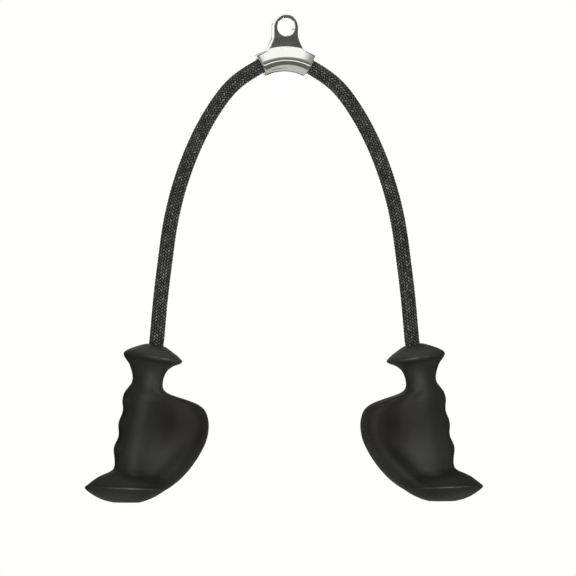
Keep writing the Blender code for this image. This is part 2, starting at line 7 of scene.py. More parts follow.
import logging
import math
from collections.abc import Callable, Iterable
from dataclasses import dataclass, field
from enum import Enum

import bmesh
import bpy
import numpy as np
from bpy.types import ID, Material, Mesh, Node, NodeOutputs, NodeSocket, Object
from mathutils import Matrix, Vector
from mathutils.kdtree import KDTree


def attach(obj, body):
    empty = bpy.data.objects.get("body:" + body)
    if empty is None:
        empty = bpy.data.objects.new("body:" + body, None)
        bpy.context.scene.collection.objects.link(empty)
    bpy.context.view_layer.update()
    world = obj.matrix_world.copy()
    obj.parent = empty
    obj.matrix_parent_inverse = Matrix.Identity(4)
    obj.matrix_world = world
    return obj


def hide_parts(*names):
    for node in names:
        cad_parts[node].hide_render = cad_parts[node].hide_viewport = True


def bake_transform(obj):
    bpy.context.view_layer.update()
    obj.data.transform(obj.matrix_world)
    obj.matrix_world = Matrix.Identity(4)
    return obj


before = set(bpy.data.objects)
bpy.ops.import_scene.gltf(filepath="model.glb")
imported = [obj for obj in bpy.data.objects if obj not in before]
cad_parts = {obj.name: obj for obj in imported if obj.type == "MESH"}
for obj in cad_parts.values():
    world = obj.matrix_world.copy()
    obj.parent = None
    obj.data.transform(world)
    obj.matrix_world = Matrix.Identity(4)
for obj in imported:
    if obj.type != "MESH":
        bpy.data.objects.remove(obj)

LOG = logging.getLogger("rope_attachment")
MM = 0.001
DEG = math.pi / 180
QUARTER_TURN = math.pi / 2
FULL_TURN = 2 * math.pi

# Bands of values, as (low, high)
MIDDLE = (0.3, 0.7)
UPPER = (0.45, 0.75)
FALLING = (1.0, 0.0)
EITHER_WAY = (-1.0, 1.0)

ROPE_DIAMETER = 15.0 * MM
ARCH_RADIUS = 53.0 * MM
CROWN_DROP = 32.7 * MM
ARCH_CENTRE = Vector((0, 0, -CROWN_DROP - ARCH_RADIUS))
ARCH_HALF_ANGLE = 28.0 * DEG
GRIP_MOUTH = Vector((-130.8 * MM, 0, -317.0 * MM))
GRIP_TILT = 11.0 * DEG
GRIP_MOUTH_LEAN = 7.7 * DEG

# The left leg's centreline, from the hanger's mouth to the grip: outwards and upwards from the eye
LEG_ROUTE = (
    (38.2 * MM, -46.8 * MM),
    (47.8 * MM, -53.4 * MM),
    (59.0 * MM, -64.3 * MM),
    (68.5 * MM, -76.8 * MM),
    (83.1 * MM, -100.6 * MM),
    (94.7 * MM, -124.6 * MM),
    (103.9 * MM, -148.5 * MM),
    (111.2 * MM, -172.6 * MM),
    (116.6 * MM, -196.8 * MM),
    (121.8 * MM, -232.8 * MM),
    (126.3 * MM, -268.8 * MM),
    (129.5 * MM, -303.0 * MM),
)

# One row for each cross-section of the grip, top to foot: finger side down and outwards, palm side down
# and inwards, half depths of the spine and of the palm's rim, dish, and the rim's round, in thousandths
GRIP_SECTIONS = (
    (4, 195, 4, 125, 310, 310, 0, 1000),
    (8, 245, 8, 157, 390, 390, 0, 1000),
    (22, 362, 22, 227, 560, 560, 0, 1000),
    (46, 525, 46, 341, 740, 740, 0, 1000),
    (69, 648, 66, 407, 860, 860, 0, 1000),
    (88, 698, 77, 421, 890, 890, 0, 1000),
    (106, 679, 92, 388, 850, 850, 0, 1000),
    (123, 623, 110, 313, 750, 750, 0, 1000),
    (147, 533, 138, 243, 630, 630, 0, 1000),
    (175, 470, 169, 209, 560, 560, 0, 1000),
    (206, 414, 203, 196, 530, 530, 0, 1000),
    (236, 387, 233, 200, 530, 530, 0, 1000),
    (261, 396, 258, 222, 550, 550, 0, 1000),
    (279, 428, 276, 278, 580, 550, 0, 950),
    (295, 460, 287, 388, 610, 500, 100, 750),
    (307, 486, 296, 567, 630, 460, 300, 480),
    (322, 510, 307, 731, 650, 450, 600, 340),
    (341, 524, 323, 836, 660, 460, 850, 270),
    (365, 530, 345, 904, 670, 470, 1000, 240),
    (399, 528, 378, 952, 680, 480, 1000, 220),
    (436, 526, 417, 985, 680, 490, 1000, 220),
    (473, 522, 460, 1000, 680, 500, 1000, 220),
    (510, 514, 503, 1000, 680, 510, 1000, 220),
    (549, 514, 546, 985, 680, 520, 1000, 220),
    (589, 514, 589, 955, 680, 530, 1000, 220),
    (632, 514, 632, 919, 680, 540, 1000, 230),
    (672, 514, 675, 873, 680, 550, 950, 240),
    (712, 510, 712, 830, 670, 570, 900, 260),
    (746, 495, 743, 785, 660, 590, 800, 290),
    (777, 457, 767, 748, 660, 610, 650, 330),
    (801, 452, 787, 713, 670, 640, 500, 380),
    (821, 516, 803, 684, 700, 680, 350, 440),
    (838, 612, 815, 657, 740, 720, 200, 520),
    (861, 733, 828, 630, 810, 780, 100, 600),
    (890, 844, 839, 604, 890, 850, 0, 700),
    (921, 944, 850, 576, 960, 920, 0, 800),
    (940, 1000, 859, 551, 1000, 960, 0, 880),
    (955, 963, 875, 510, 970, 950, 0, 920),
    (973, 828, 900, 448, 880, 880, 0, 1000),
    (990, 651, 927, 367, 760, 760, 0, 1000),
    (998, 477, 952, 275, 630, 630, 0, 1000),
    (1000, 300, 970, 188, 470, 470, 0, 1000),
)


class Side(Enum):
    """The two halves of the attachment, as the front shows them."""

    LEFT = "left"
    RIGHT = "right"

    @property
    def outward(self) -> int:
        """Which way along the rope leads from the arch to this side's grip."""
        return -1 if self is Side.LEFT else 1

    @property
    def turn(self) -> Matrix:
        """The turn about the hanging line that brings the left half's shape to this side."""
        return Matrix.Rotation(0 if self is Side.LEFT else math.pi, 4, "Z")


class Axis(Enum):
    """What a node sheet's coordinates follow."""

    OBJECT = "Object"
    UV = "UV"


# Finishes
@dataclass(frozen=True)
class Grain:
    """A soft noise, with its stretch and the strength and height of its bump where it has them."""

    scale: float
    detail: float
    stretch: tuple = (1.0, 1.0, 1.0)
    bump: tuple = (0.0, 0.0)


class NodeSheet:
    """A material's or the world's nodes, with short calls for the ones used here; a band is (low, high)."""

    def __init__(self, owner: ID) -> None:
        """Switch on the nodes of a new material or world.

        Args:
            owner: the material or world.
        """
        self.owner = owner
        owner.use_nodes = True
        self.nodes = owner.node_tree.nodes

    def join(self, value: object, socket: NodeSocket) -> None:
        """Link a socket to another, or write a plain value on it."""
        if isinstance(value, NodeSocket):
            self.owner.node_tree.links.new(value, socket)
        else:
            socket.default_value = value

    def node(self, kind: str, inputs: dict | None = None, **settings: object) -> Node:
        """Add a node.

        Args:
            kind: the node's type.
            inputs: values or sockets by input name or number.
            settings: the node's own properties.

        Returns:
            The node.
        """
        node = self.nodes.new(kind)
        for key, value in settings.items():
            setattr(node, key, value)
        for key, value in (inputs or {}).items():
            self.join(value, node.inputs[key])
        return node

    def math(self, operation: str, *values: object) -> NodeSocket:
        """The result of a Math node on one to three values."""
        return self.node("ShaderNodeMath", dict(enumerate(values)), operation=operation).outputs[0]

    def coordinates(self, axis: Axis) -> NodeSocket:
        """The surface's object or UV coordinates."""
        return self.node("ShaderNodeTexCoord").outputs[axis.value]

    def parts(self, place: NodeSocket) -> NodeOutputs:
        """The three parts of a place."""
        return self.node("ShaderNodeSeparateXYZ", {0: place}).outputs

    def attribute(self, name: str) -> NodeSocket:
        """The value of a number kept on the mesh."""
        return self.node("ShaderNodeAttribute", attribute_name=name).outputs["Fac"]

    def stretched(self, place: NodeSocket, scale: tuple) -> NodeSocket:
        """A place with its three directions scaled apart."""
        return self.node("ShaderNodeMapping", {"Vector": place, "Scale": scale}).outputs[0]

    def noise(self, place: NodeSocket, grain: Grain) -> NodeSocket:
        """A grain's noise between 0 and 1 over a place."""
        place = self.stretched(place, grain.stretch)
        inputs = {"Vector": place, "Scale": grain.scale, "Detail": grain.detail}
        return self.node("ShaderNodeTexNoise", inputs).outputs[0]

    def band(self, value: object, given: tuple, wanted: tuple = (0.0, 1.0)) -> NodeSocket:
        """A value taken smoothly from one band to another, and held at its ends."""
        inputs = {"Value": value, "From Min": given[0], "From Max": given[1]}
        inputs |= {"To Min": wanted[0], "To Max": wanted[1]}
        return self.node("ShaderNodeMapRange", inputs, interpolation_type="SMOOTHSTEP").outputs[0]

    def blend(self, share: object, one: object, two: object) -> NodeSocket:
        """A mix of two colours."""
        return self.node("ShaderNodeMix", {0: share, 6: one, 7: two}, data_type="RGBA").outputs[2]

    def bump(self, height: object, size: tuple, base: object = None) -> NodeSocket:
        """A bumped normal, over another one where it is given."""
        inputs = {"Height": height, "Strength": size[0], "Distance": size[1]}
        if base is not None:
            inputs["Normal"] = base
        return self.node("ShaderNodeBump", inputs).outputs[0]

    def looked_at(self) -> NodeSocket:
        """1 for a look by the camera, or one through metal or glass, and 0 for all other light."""
        path = self.node("ShaderNodeLightPath").outputs
        through = self.math("MAXIMUM", path["Is Glossy Ray"], path["Is Transmission Ray"])
        return self.math("MAXIMUM", path["Is Camera Ray"], through)

    def finish(self, inputs: dict) -> Material:
        """Join the shader's sockets, or write plain values on them, and give the material."""
        for name, value in inputs.items():
            self.join(value, self.nodes["Principled BSDF"].inputs[name])
        return self.owner

    def show(self, surface: NodeSocket) -> Material:
        """Put another surface in the shader's place, and give the material."""
        self.join(surface, self.nodes["Material Output"].inputs["Surface"])
        self.nodes.remove(self.nodes["Principled BSDF"])
        return self.owner


@dataclass(frozen=True)
class BraidFinish:
    """Black filament yarn: painted shade near black between the floats, dark grey on them, with painted
    glints as highlights.
    """

    # Painted shade, near black, between the floats
    painted_gap_shade: tuple = (0.001, 0.001, 0.001, 1.0)
    shaded: tuple = (0.034, 0.0335, 0.033, 1.0)
    yarn: tuple = (0.120, 0.118, 0.116, 1.0)
    # Painted highlight on the crowns of some floats
    painted_glint: tuple = (0.205, 0.202, 0.198, 1.0)
    dust: tuple = (0.14, 0.137, 0.133, 1.0)
    evenness: float = 0.9
    float_ends: tuple = (0.10, 0.42)
    float_sides: tuple = (0.28, 0.48)
    threads: float = 1.6
    fibre: Grain = Grain(1.0, 3.0, stretch=(1.0, 9.0, 1.0))
    dusting: Grain = Grain(38.0, 3.0)
    dustiest: float = 0.25
    painted_glint_strands: tuple = (0.75, 1.0)
    painted_glint_fibres: tuple = (0.38, 0.60)
    crown_height: float = 0.75
    lint_height: float = 0.35
    relief: tuple = (0.55, 0.35 * MM)
    roughness: tuple = (0.46, 0.72)

    def material(self) -> Material:
        """The braid's material, on the weave's own UV: columns across, floats along."""
        sheet = NodeSheet(bpy.data.materials.new("black_filament_braid"))
        weave = sheet.parts(sheet.coordinates(Axis.UV))
        column = sheet.math("FLOOR", weave[0])
        across = sheet.math("SUBTRACT", sheet.math("FRACT", weave[0]), 0.5)
        row = sheet.math("MULTIPLY_ADD", sheet.math("MODULO", column, 2.0), 0.5, weave[1])
        along = sheet.math("SUBTRACT", sheet.math("FRACT", row), 0.5)
        strand = sheet.node("ShaderNodeCombineXYZ", {0: column, 1: sheet.math("FLOOR", row)}).outputs[0]
        own = sheet.node("ShaderNodeTexWhiteNoise", {"Vector": strand}, noise_dimensions="3D").outputs[0]
        lengthwise = sheet.band(sheet.math("ABSOLUTE", along), self.float_ends, FALLING)
        crosswise = sheet.band(sheet.math("ABSOLUTE", across), self.float_sides, FALLING)
        crown = sheet.math("MULTIPLY", lengthwise, crosswise)
        thread = {0: sheet.math("MULTIPLY", weave[0], self.threads), 1: row}
        thread = sheet.node("ShaderNodeCombineXYZ", thread).outputs[0]
        fibre = sheet.noise(thread, self.fibre)
        patch = sheet.noise(sheet.coordinates(Axis.OBJECT), self.dusting)
        # Painted glints: highlights painted on the crowns of some strands, where the fibre noise is high
        painted_glints = sheet.band(own, self.painted_glint_strands), sheet.band(fibre, self.painted_glint_fibres)
        painted_glints = sheet.math("MULTIPLY", sheet.math("MULTIPLY", *painted_glints), crown)
        yarn = sheet.blend(sheet.math("POWER", own, self.evenness), self.shaded, self.yarn)
        yarn = sheet.blend(sheet.band(patch, UPPER, (0.0, self.dustiest)), yarn, self.dust)
        # Painted shade near black between the floats, the yarn's colour on their crowns, and painted glints
        # on some crowns
        colour = sheet.blend(painted_glints, sheet.blend(crown, self.painted_gap_shade, yarn), self.painted_glint)
        lint = sheet.math("MULTIPLY", fibre, self.lint_height)
        height = sheet.math("MULTIPLY_ADD", crown, self.crown_height, lint)
        return sheet.finish({
            "Base Color": colour,
            "Roughness": sheet.band(fibre, MIDDLE, self.roughness),
            "Normal": sheet.bump(height, self.relief),
            "Sheen Weight": 0.03,
            "Sheen Roughness": 0.45,
            "Specular IOR Level": 0.22,
        })


@dataclass(frozen=True)
class ChromeFinish:
    """Polished chrome plate over a casting, with soft waves, wiping marks and dull grime in smears."""

    plate: tuple = (0.92, 0.918, 0.905, 1.0)
    grime: tuple = (0.60, 0.58, 0.54, 1.0)
    wave: Grain = Grain(90.0, 1.0, bump=(0.006, 1.2 * MM))
    wipe: Grain = Grain(1.0, 2.0, (60.0, 60.0, 900.0), bump=(0.008, 0.05 * MM))
    wipe_band: tuple = (0.4, 0.7)
    smear: Grain = Grain(320.0, 4.0)
    smear_band: tuple = (0.64, 0.82)
    dullest: float = 0.35
    roughness: float = 0.055
    wiped_roughness: float = 0.04
    dull_roughness: float = 0.12

    def material(self) -> Material:
        """The plate's material."""
        sheet = NodeSheet(bpy.data.materials.new("polished_chrome_plate"))
        place = sheet.coordinates(Axis.OBJECT)
        wave = sheet.noise(place, self.wave)
        wipe = sheet.noise(place, self.wipe)
        dull = sheet.band(sheet.noise(place, self.smear), self.smear_band, (0.0, self.dullest))
        wiped = sheet.band(wipe, self.wipe_band)
        rough = sheet.math("MULTIPLY_ADD", wiped, self.wiped_roughness, self.roughness)
        return sheet.finish({
            "Base Color": sheet.blend(dull, self.plate, self.grime),
            "Roughness": sheet.math("MULTIPLY_ADD", dull, self.dull_roughness, rough),
            "Normal": sheet.bump(wave, self.wave.bump, sheet.bump(wipe, self.wipe.bump)),
            "Metallic": 1.0,
        })


@dataclass(frozen=True)
class RubberFinish:
    """Black moulded rubber: painted light where the hand rests, brown and painted shade in the palm's hollow,
    painted highlights and wear at its rims.
    """

    body: tuple = (0.0165, 0.0162, 0.0155, 1.0)
    bloom: tuple = (0.0205, 0.0202, 0.0194, 1.0)
    # Painted light: a paler colour on the lit neck front, low palm, foot and top
    painted_light: tuple = (0.040, 0.0395, 0.0380, 1.0)
    shaded: tuple = (0.0070, 0.0070, 0.0069, 1.0)
    # A brown tint with painted shade, darker, in the palm's hollow
    hollow_tint_and_shade: tuple = (0.0105, 0.0074, 0.0058, 1.0)
    # Painted highlights on the flange's, ledge's and lip's edges, and wear on the finger ridges
    highlight_and_wear: tuple = (0.14, 0.14, 0.138, 1.0)
    cloud: Grain = Grain(26.0, 4.0)
    cloud_band: tuple = (0.4, 0.75)
    cloudiest: float = 0.8
    grain: Grain = Grain(1500.0, 2.0, bump=(0.16, 0.12 * MM))
    pits: Grain = Grain(520.0, 3.0, bump=(0.12, 0.30 * MM))
    scuffs: Grain = Grain(1.0, 3.0, (160.0, 160.0, 700.0))
    worn_band: tuple = (0.35, 0.7)
    least_worn: float = 0.2
    parting_width: float = 0.35 * MM
    parting_bump: tuple = (0.25, 0.15 * MM)
    roughness: tuple = (0.46, 0.56)
    scuffed_roughness: float = 0.05
    worn_roughness: float = -0.06

    def material(self) -> Material:
        """The grips' material, with the mould's fine grain and its parting line."""
        sheet = NodeSheet(bpy.data.materials.new("matte_black_rubber"))
        place = sheet.coordinates(Axis.OBJECT)
        cloud = sheet.noise(place, self.cloud)
        scuff = sheet.noise(place, self.scuffs)
        from_middle = sheet.math("ABSOLUTE", sheet.parts(place)[1])
        parting = sheet.band(from_middle, (0.0, self.parting_width), FALLING)
        worn = sheet.band(scuff, self.worn_band, (self.least_worn, 1.0))
        # The painted highlights and the ridges' wear, broken up by the scuffs
        worn = sheet.math("MULTIPLY", sheet.attribute("highlight_and_wear"), worn)
        colour = sheet.band(cloud, self.cloud_band, (0.0, self.cloudiest))
        colour = sheet.blend(colour, self.body, self.bloom)
        # Painted light, painted shade, and the hollow's brown tint with painted shade
        for mark, tint in (("painted_light", self.painted_light), ("shaded", self.shaded), ("hollow_tint_and_shade", self.hollow_tint_and_shade)):
            colour = sheet.blend(sheet.attribute(mark), colour, tint)
        rough = sheet.band(cloud, MIDDLE, self.roughness)
        scuffed = sheet.band(scuff, MIDDLE, EITHER_WAY)
        rough = sheet.math("MULTIPLY_ADD", scuffed, self.scuffed_roughness, rough)
        skin = sheet.bump(sheet.noise(place, self.pits), self.pits.bump)
        skin = sheet.bump(sheet.noise(place, self.grain), self.grain.bump, skin)
        return sheet.finish({
            "Base Color": sheet.blend(worn, colour, self.highlight_and_wear),
            "Roughness": sheet.math("MULTIPLY_ADD", worn, self.worn_roughness, rough),
            "Normal": sheet.bump(parting, self.parting_bump, skin),
            "Specular IOR Level": 0.13,
        })


@dataclass(frozen=True)
class FittingFinish:
    """A plain turned or moulded fitting, with its tool marks, mottling and wear."""

    name: str
    colour: tuple
    worn: tuple
    roughness: float
    turning: float
    metallic: float = 0.0
    mottle: Grain = Grain(240.0, 4.0, bump=(0.10, 0.10 * MM))
    most_worn: float = 0.8
    tool_noise: tuple = (1.0, 2.0)
    tool_stretch: float = 80.0
    tool_bump: tuple = (0.15, 0.06 * MM)
    tool_roughness: float = 0.08

    def material(self) -> Material:
        """The fitting's material."""
        sheet = NodeSheet(bpy.data.materials.new(self.name))
        place = sheet.coordinates(Axis.OBJECT)
        mottle = sheet.noise(place, self.mottle)
        stretch = (self.tool_stretch, self.tool_stretch, self.turning)
        lines = sheet.noise(place, Grain(*self.tool_noise, stretch))
        wear = sheet.band(mottle, UPPER, (0.0, self.most_worn))
        cut = sheet.band(lines, MIDDLE, EITHER_WAY)
        return sheet.finish({
            "Base Color": sheet.blend(wear, self.colour, self.worn),
            "Roughness": sheet.math("MULTIPLY_ADD", cut, self.tool_roughness, self.roughness),
            "Normal": sheet.bump(lines, self.tool_bump, sheet.bump(mottle, self.mottle.bump)),
            "Metallic": self.metallic,
        })


class Palette:
    """The finishes by the record's material slots."""

    def __init__(self) -> None:
        """Make every finish once."""
        finishes = {
            "chrome": ChromeFinish(),
            "rope_sheath": BraidFinish(),
            "grip_rubber": RubberFinish(),
            "ferrule_steel": FittingFinish(
                "zinc_plated_steel", colour=(0.45, 0.46, 0.47, 1), worn=(0.30, 0.31, 0.30, 1),
                roughness=0.32, turning=2600.0, metallic=1.0,
            ),
            "washer_nylon": FittingFinish(
                "natural_nylon", colour=(0.70, 0.69, 0.64, 1), worn=(0.55, 0.53, 0.47, 1),
                roughness=0.45, turning=1500.0,
            ),
            "plug_plastic": FittingFinish(
                "matte_black_plug", colour=(0.016, 0.016, 0.015, 1), worn=(0.032, 0.031, 0.030, 1),
                roughness=0.5, turning=900.0,
            ),
        }
        self.materials = {slot: finish.material() for slot, finish in finishes.items()}

    def dress(self, obj: Object, slot: str) -> None:
        """Give an object the finish of one of the record's material slots."""
        obj.data.materials.clear()
        obj.data.materials.append(self.materials[slot])


# Shapes
def linked(name: str, data: ID) -> Object:
    """An object of a mesh, curve, camera or light, in the scene."""
    obj = bpy.data.objects.new(name, data)
    bpy.context.scene.collection.objects.link(obj)
    return obj


def settled(obj: Object) -> Mesh:
    """The mesh that an object's modifiers make, with the object removed.

    Args:
        obj: the object to settle.

    Returns:
        The mesh.
    """
    graph = bpy.context.evaluated_depsgraph_get()
    graph.update()
    mesh = bpy.data.meshes.new_from_object(obj.evaluated_get(graph))
    bpy.data.objects.remove(obj, do_unlink=True)
    return mesh


def combined(body: Mesh, *steps: tuple) -> Mesh:
    """A mesh joined with or cut by others, in order.

    Args:
        body: the mesh to work on.
        steps: pairs of a Boolean operation and the other mesh.

    Returns:
        The new mesh.
    """
    obj = linked("body", body)
    tools = []
    for operation, other in steps:
        tools.append(linked("tool", other))
        modifier = obj.modifiers.new(operation, "BOOLEAN")
        modifier.operation = operation
        modifier.solver = "MANIFOLD"
        modifier.object = tools[-1]
    mesh = settled(obj)
    for tool in tools:
        bpy.data.objects.remove(tool, do_unlink=True)
    return mesh


def loft(rings: list) -> Mesh:
    """A closed skin through rings of as many points each.

    Args:
        rings: the rings of points.

    Returns:
        The mesh.
    """
    bm = bmesh.new()
    made = [[bm.verts.new(point) for point in ring] for ring in rings]
    count = len(made[0])
    for upper, lower in zip(made, made[1:]):
        for i in range(count):
            j = (i + 1) % count
            bm.faces.new((upper[i], upper[j], lower[j], lower[i]))
    bm.faces.new(made[0])
    bm.faces.new(made[-1])
    bmesh.ops.recalc_face_normals(bm, faces=bm.faces[:])
    mesh = bpy.data.meshes.new("skin")
    bm.to_mesh(mesh)
    bm.free()
    return mesh


def on_circle(radius: float, angles: Iterable) -> list:
    """Points of a circle round (0, 0), at angles."""
    return [(radius * math.cos(angle), radius * math.sin(angle)) for angle in angles]


def quarter_round(steps: int) -> list:
    """The corners of a rounded edge, as shares of its radius left to go along the one side and the other."""
    turns = [QUARTER_TURN * step / steps for step in range(steps + 1)]
    return [(1 - math.cos(turn), 1 - math.sin(turn)) for turn in turns]


def turned(profile: list, steps: int) -> Mesh:
    """A turned solid about Z, from (radius, height) points, with so many faces round it."""
    angles = [FULL_TURN * step / steps for step in range(steps)]
    return loft([[(x, y, height) for x, y in on_circle(radius, angles)] for radius, height in profile])


def eased(share: float) -> float:
    """A share that starts and ends softly."""
    return share * share * (3 - 2 * share)


def between(one: object, two: object, slopes: tuple, t: object) -> object:
    """A smooth curve from one value to another, with its slopes at both ends, at a share of the way."""
    bent = slopes[0] * t * (1 - t) ** 2 - slopes[1] * t * t * (1 - t)
    return one * (1 - eased(t)) + two * eased(t) + bent


# Rope
class Route:
    """A smooth centreline in the plane of the two legs, measured along its length."""

    side_reach = 1.5 * MM

    def __init__(self, points: np.ndarray) -> None:
        """Measure a line of points.

        Args:
            points: the points, close together.
        """
        self.points = points
        steps = np.linalg.norm(np.diff(points, axis=0), axis=1)
        self.lengths = np.concatenate([[0], np.cumsum(steps)])

    @property
    def length(self) -> float:
        """The whole length."""
        return float(self.lengths[-1])

    def at(self, lengths: np.ndarray) -> np.ndarray:
        """Points at lengths along the line."""
        return np.stack([np.interp(lengths, self.lengths, self.points[:, i]) for i in range(3)], axis=-1)

    def side(self, lengths: np.ndarray) -> np.ndarray:
        """Unit vectors across the line, in its own plane."""
        along = self.at(lengths + self.side_reach) - self.at(lengths - self.side_reach)
        along /= np.linalg.norm(along, axis=-1, keepdims=True)
        return np.cross(along, np.array([0.0, 1.0, 0.0]))

    def nearest(self, place: Vector) -> float:
        """The length at which the line passes closest to a point."""
        return float(self.lengths[np.argmin(np.linalg.norm(self.points - np.array(place), axis=1))])


@dataclass(frozen=True)
class Braid:
    """The sheath's weave: columns of leaning floats, with every other column leaning the other way."""

    radius: float = ROPE_DIAMETER / 2
    relief: float = 0.8 * MM
    columns: int = 16
    pitch: float = 3.2 * MM
    lean: float = 0.75
    along_power: float = 2.2
    across_power: float = 3.0
    across_steps: int = 6
    along_steps: int = 4

    def rings_in(self, length: float) -> int:
        """How many ring steps a length holds."""
        return int(length / self.pitch * self.along_steps)

    def surface(self, route: Route, first: int, last: int) -> np.ndarray:
        """The woven surface between two rings.

        Args:
            route: the rope's centreline.
            first: the first ring's number.
            last: the last ring's number.

        Returns:
            Points as rings x round x 3.
        """
        across = np.arange(self.columns * self.across_steps) / self.across_steps
        column = np.floor(across)
        offset = across - column - 0.5
        sign = np.where(column % 2 == 0, 1.0, -1.0)
        rows = np.arange(first, last + 1)[:, None] / self.along_steps
        lengths = (rows + self.lean * sign * offset) * self.pitch
        phase = rows + (column % 2) / 2
        thickness = 1 - np.abs(2 * (phase - np.floor(phase) - 0.5)) ** self.along_power
        sides = 1 - np.abs(2 * offset) ** self.across_power
        height = np.sqrt(np.clip(thickness * sides, 0, 1))
        radius = (self.radius - self.relief * (1 - height))[..., None]
        angle = FULL_TURN * across / self.columns
        out = route.side(lengths) * np.cos(angle)[:, None]
        out[..., 1] += np.sin(angle)
        return route.at(lengths) + out * radius

    def mesh(self, name: str, route: Route, first: int, last: int) -> Mesh:
        """One stretch of the sheath, with the weave's UV and normals that run on across its ends.

        Args:
            name: the mesh's name.
            route: the rope's centreline.
            first: the first ring's number.
            last: the last ring's number.

        Returns:
            The mesh.
        """
        wide = self.surface(route, first - 1, last + 1)
        points = wide[1:-1]
        round_step = np.roll(points, -1, axis=1) - np.roll(points, 1, axis=1)
        normals = np.cross(wide[2:] - wide[:-2], round_step)
        normals /= np.linalg.norm(normals, axis=-1, keepdims=True)
        rings, around = points.shape[:2]
        index = np.arange(rings * around).reshape(rings, around)
        following = np.roll(index, -1, axis=1)
        quads = np.stack([index[:-1], index[1:], following[1:], following[:-1]], axis=-1).reshape(-1, 4)
        mesh = bpy.data.meshes.new(name)
        mesh.from_pydata(points.reshape(-1, 3), [], quads.tolist())
        first_u = np.tile(np.arange(around), rings - 1) / self.across_steps
        first_v = np.repeat(np.arange(first, last), around) / self.along_steps
        step_u, step_v = 1 / self.across_steps, 1 / self.along_steps
        corners = [(0, 0), (0, step_v), (step_u, step_v), (step_u, 0)]
        uv = np.stack([np.stack([first_u + du, first_v + dv], axis=-1) for du, dv in corners], axis=1)
        mesh.uv_layers.new(name="weave").uv.foreach_set("vector", uv.astype(np.float32).ravel())
        mesh.shade_smooth()
        mesh.normals_split_custom_set_from_vertices(normals.reshape(-1, 3).tolist())
        return mesh


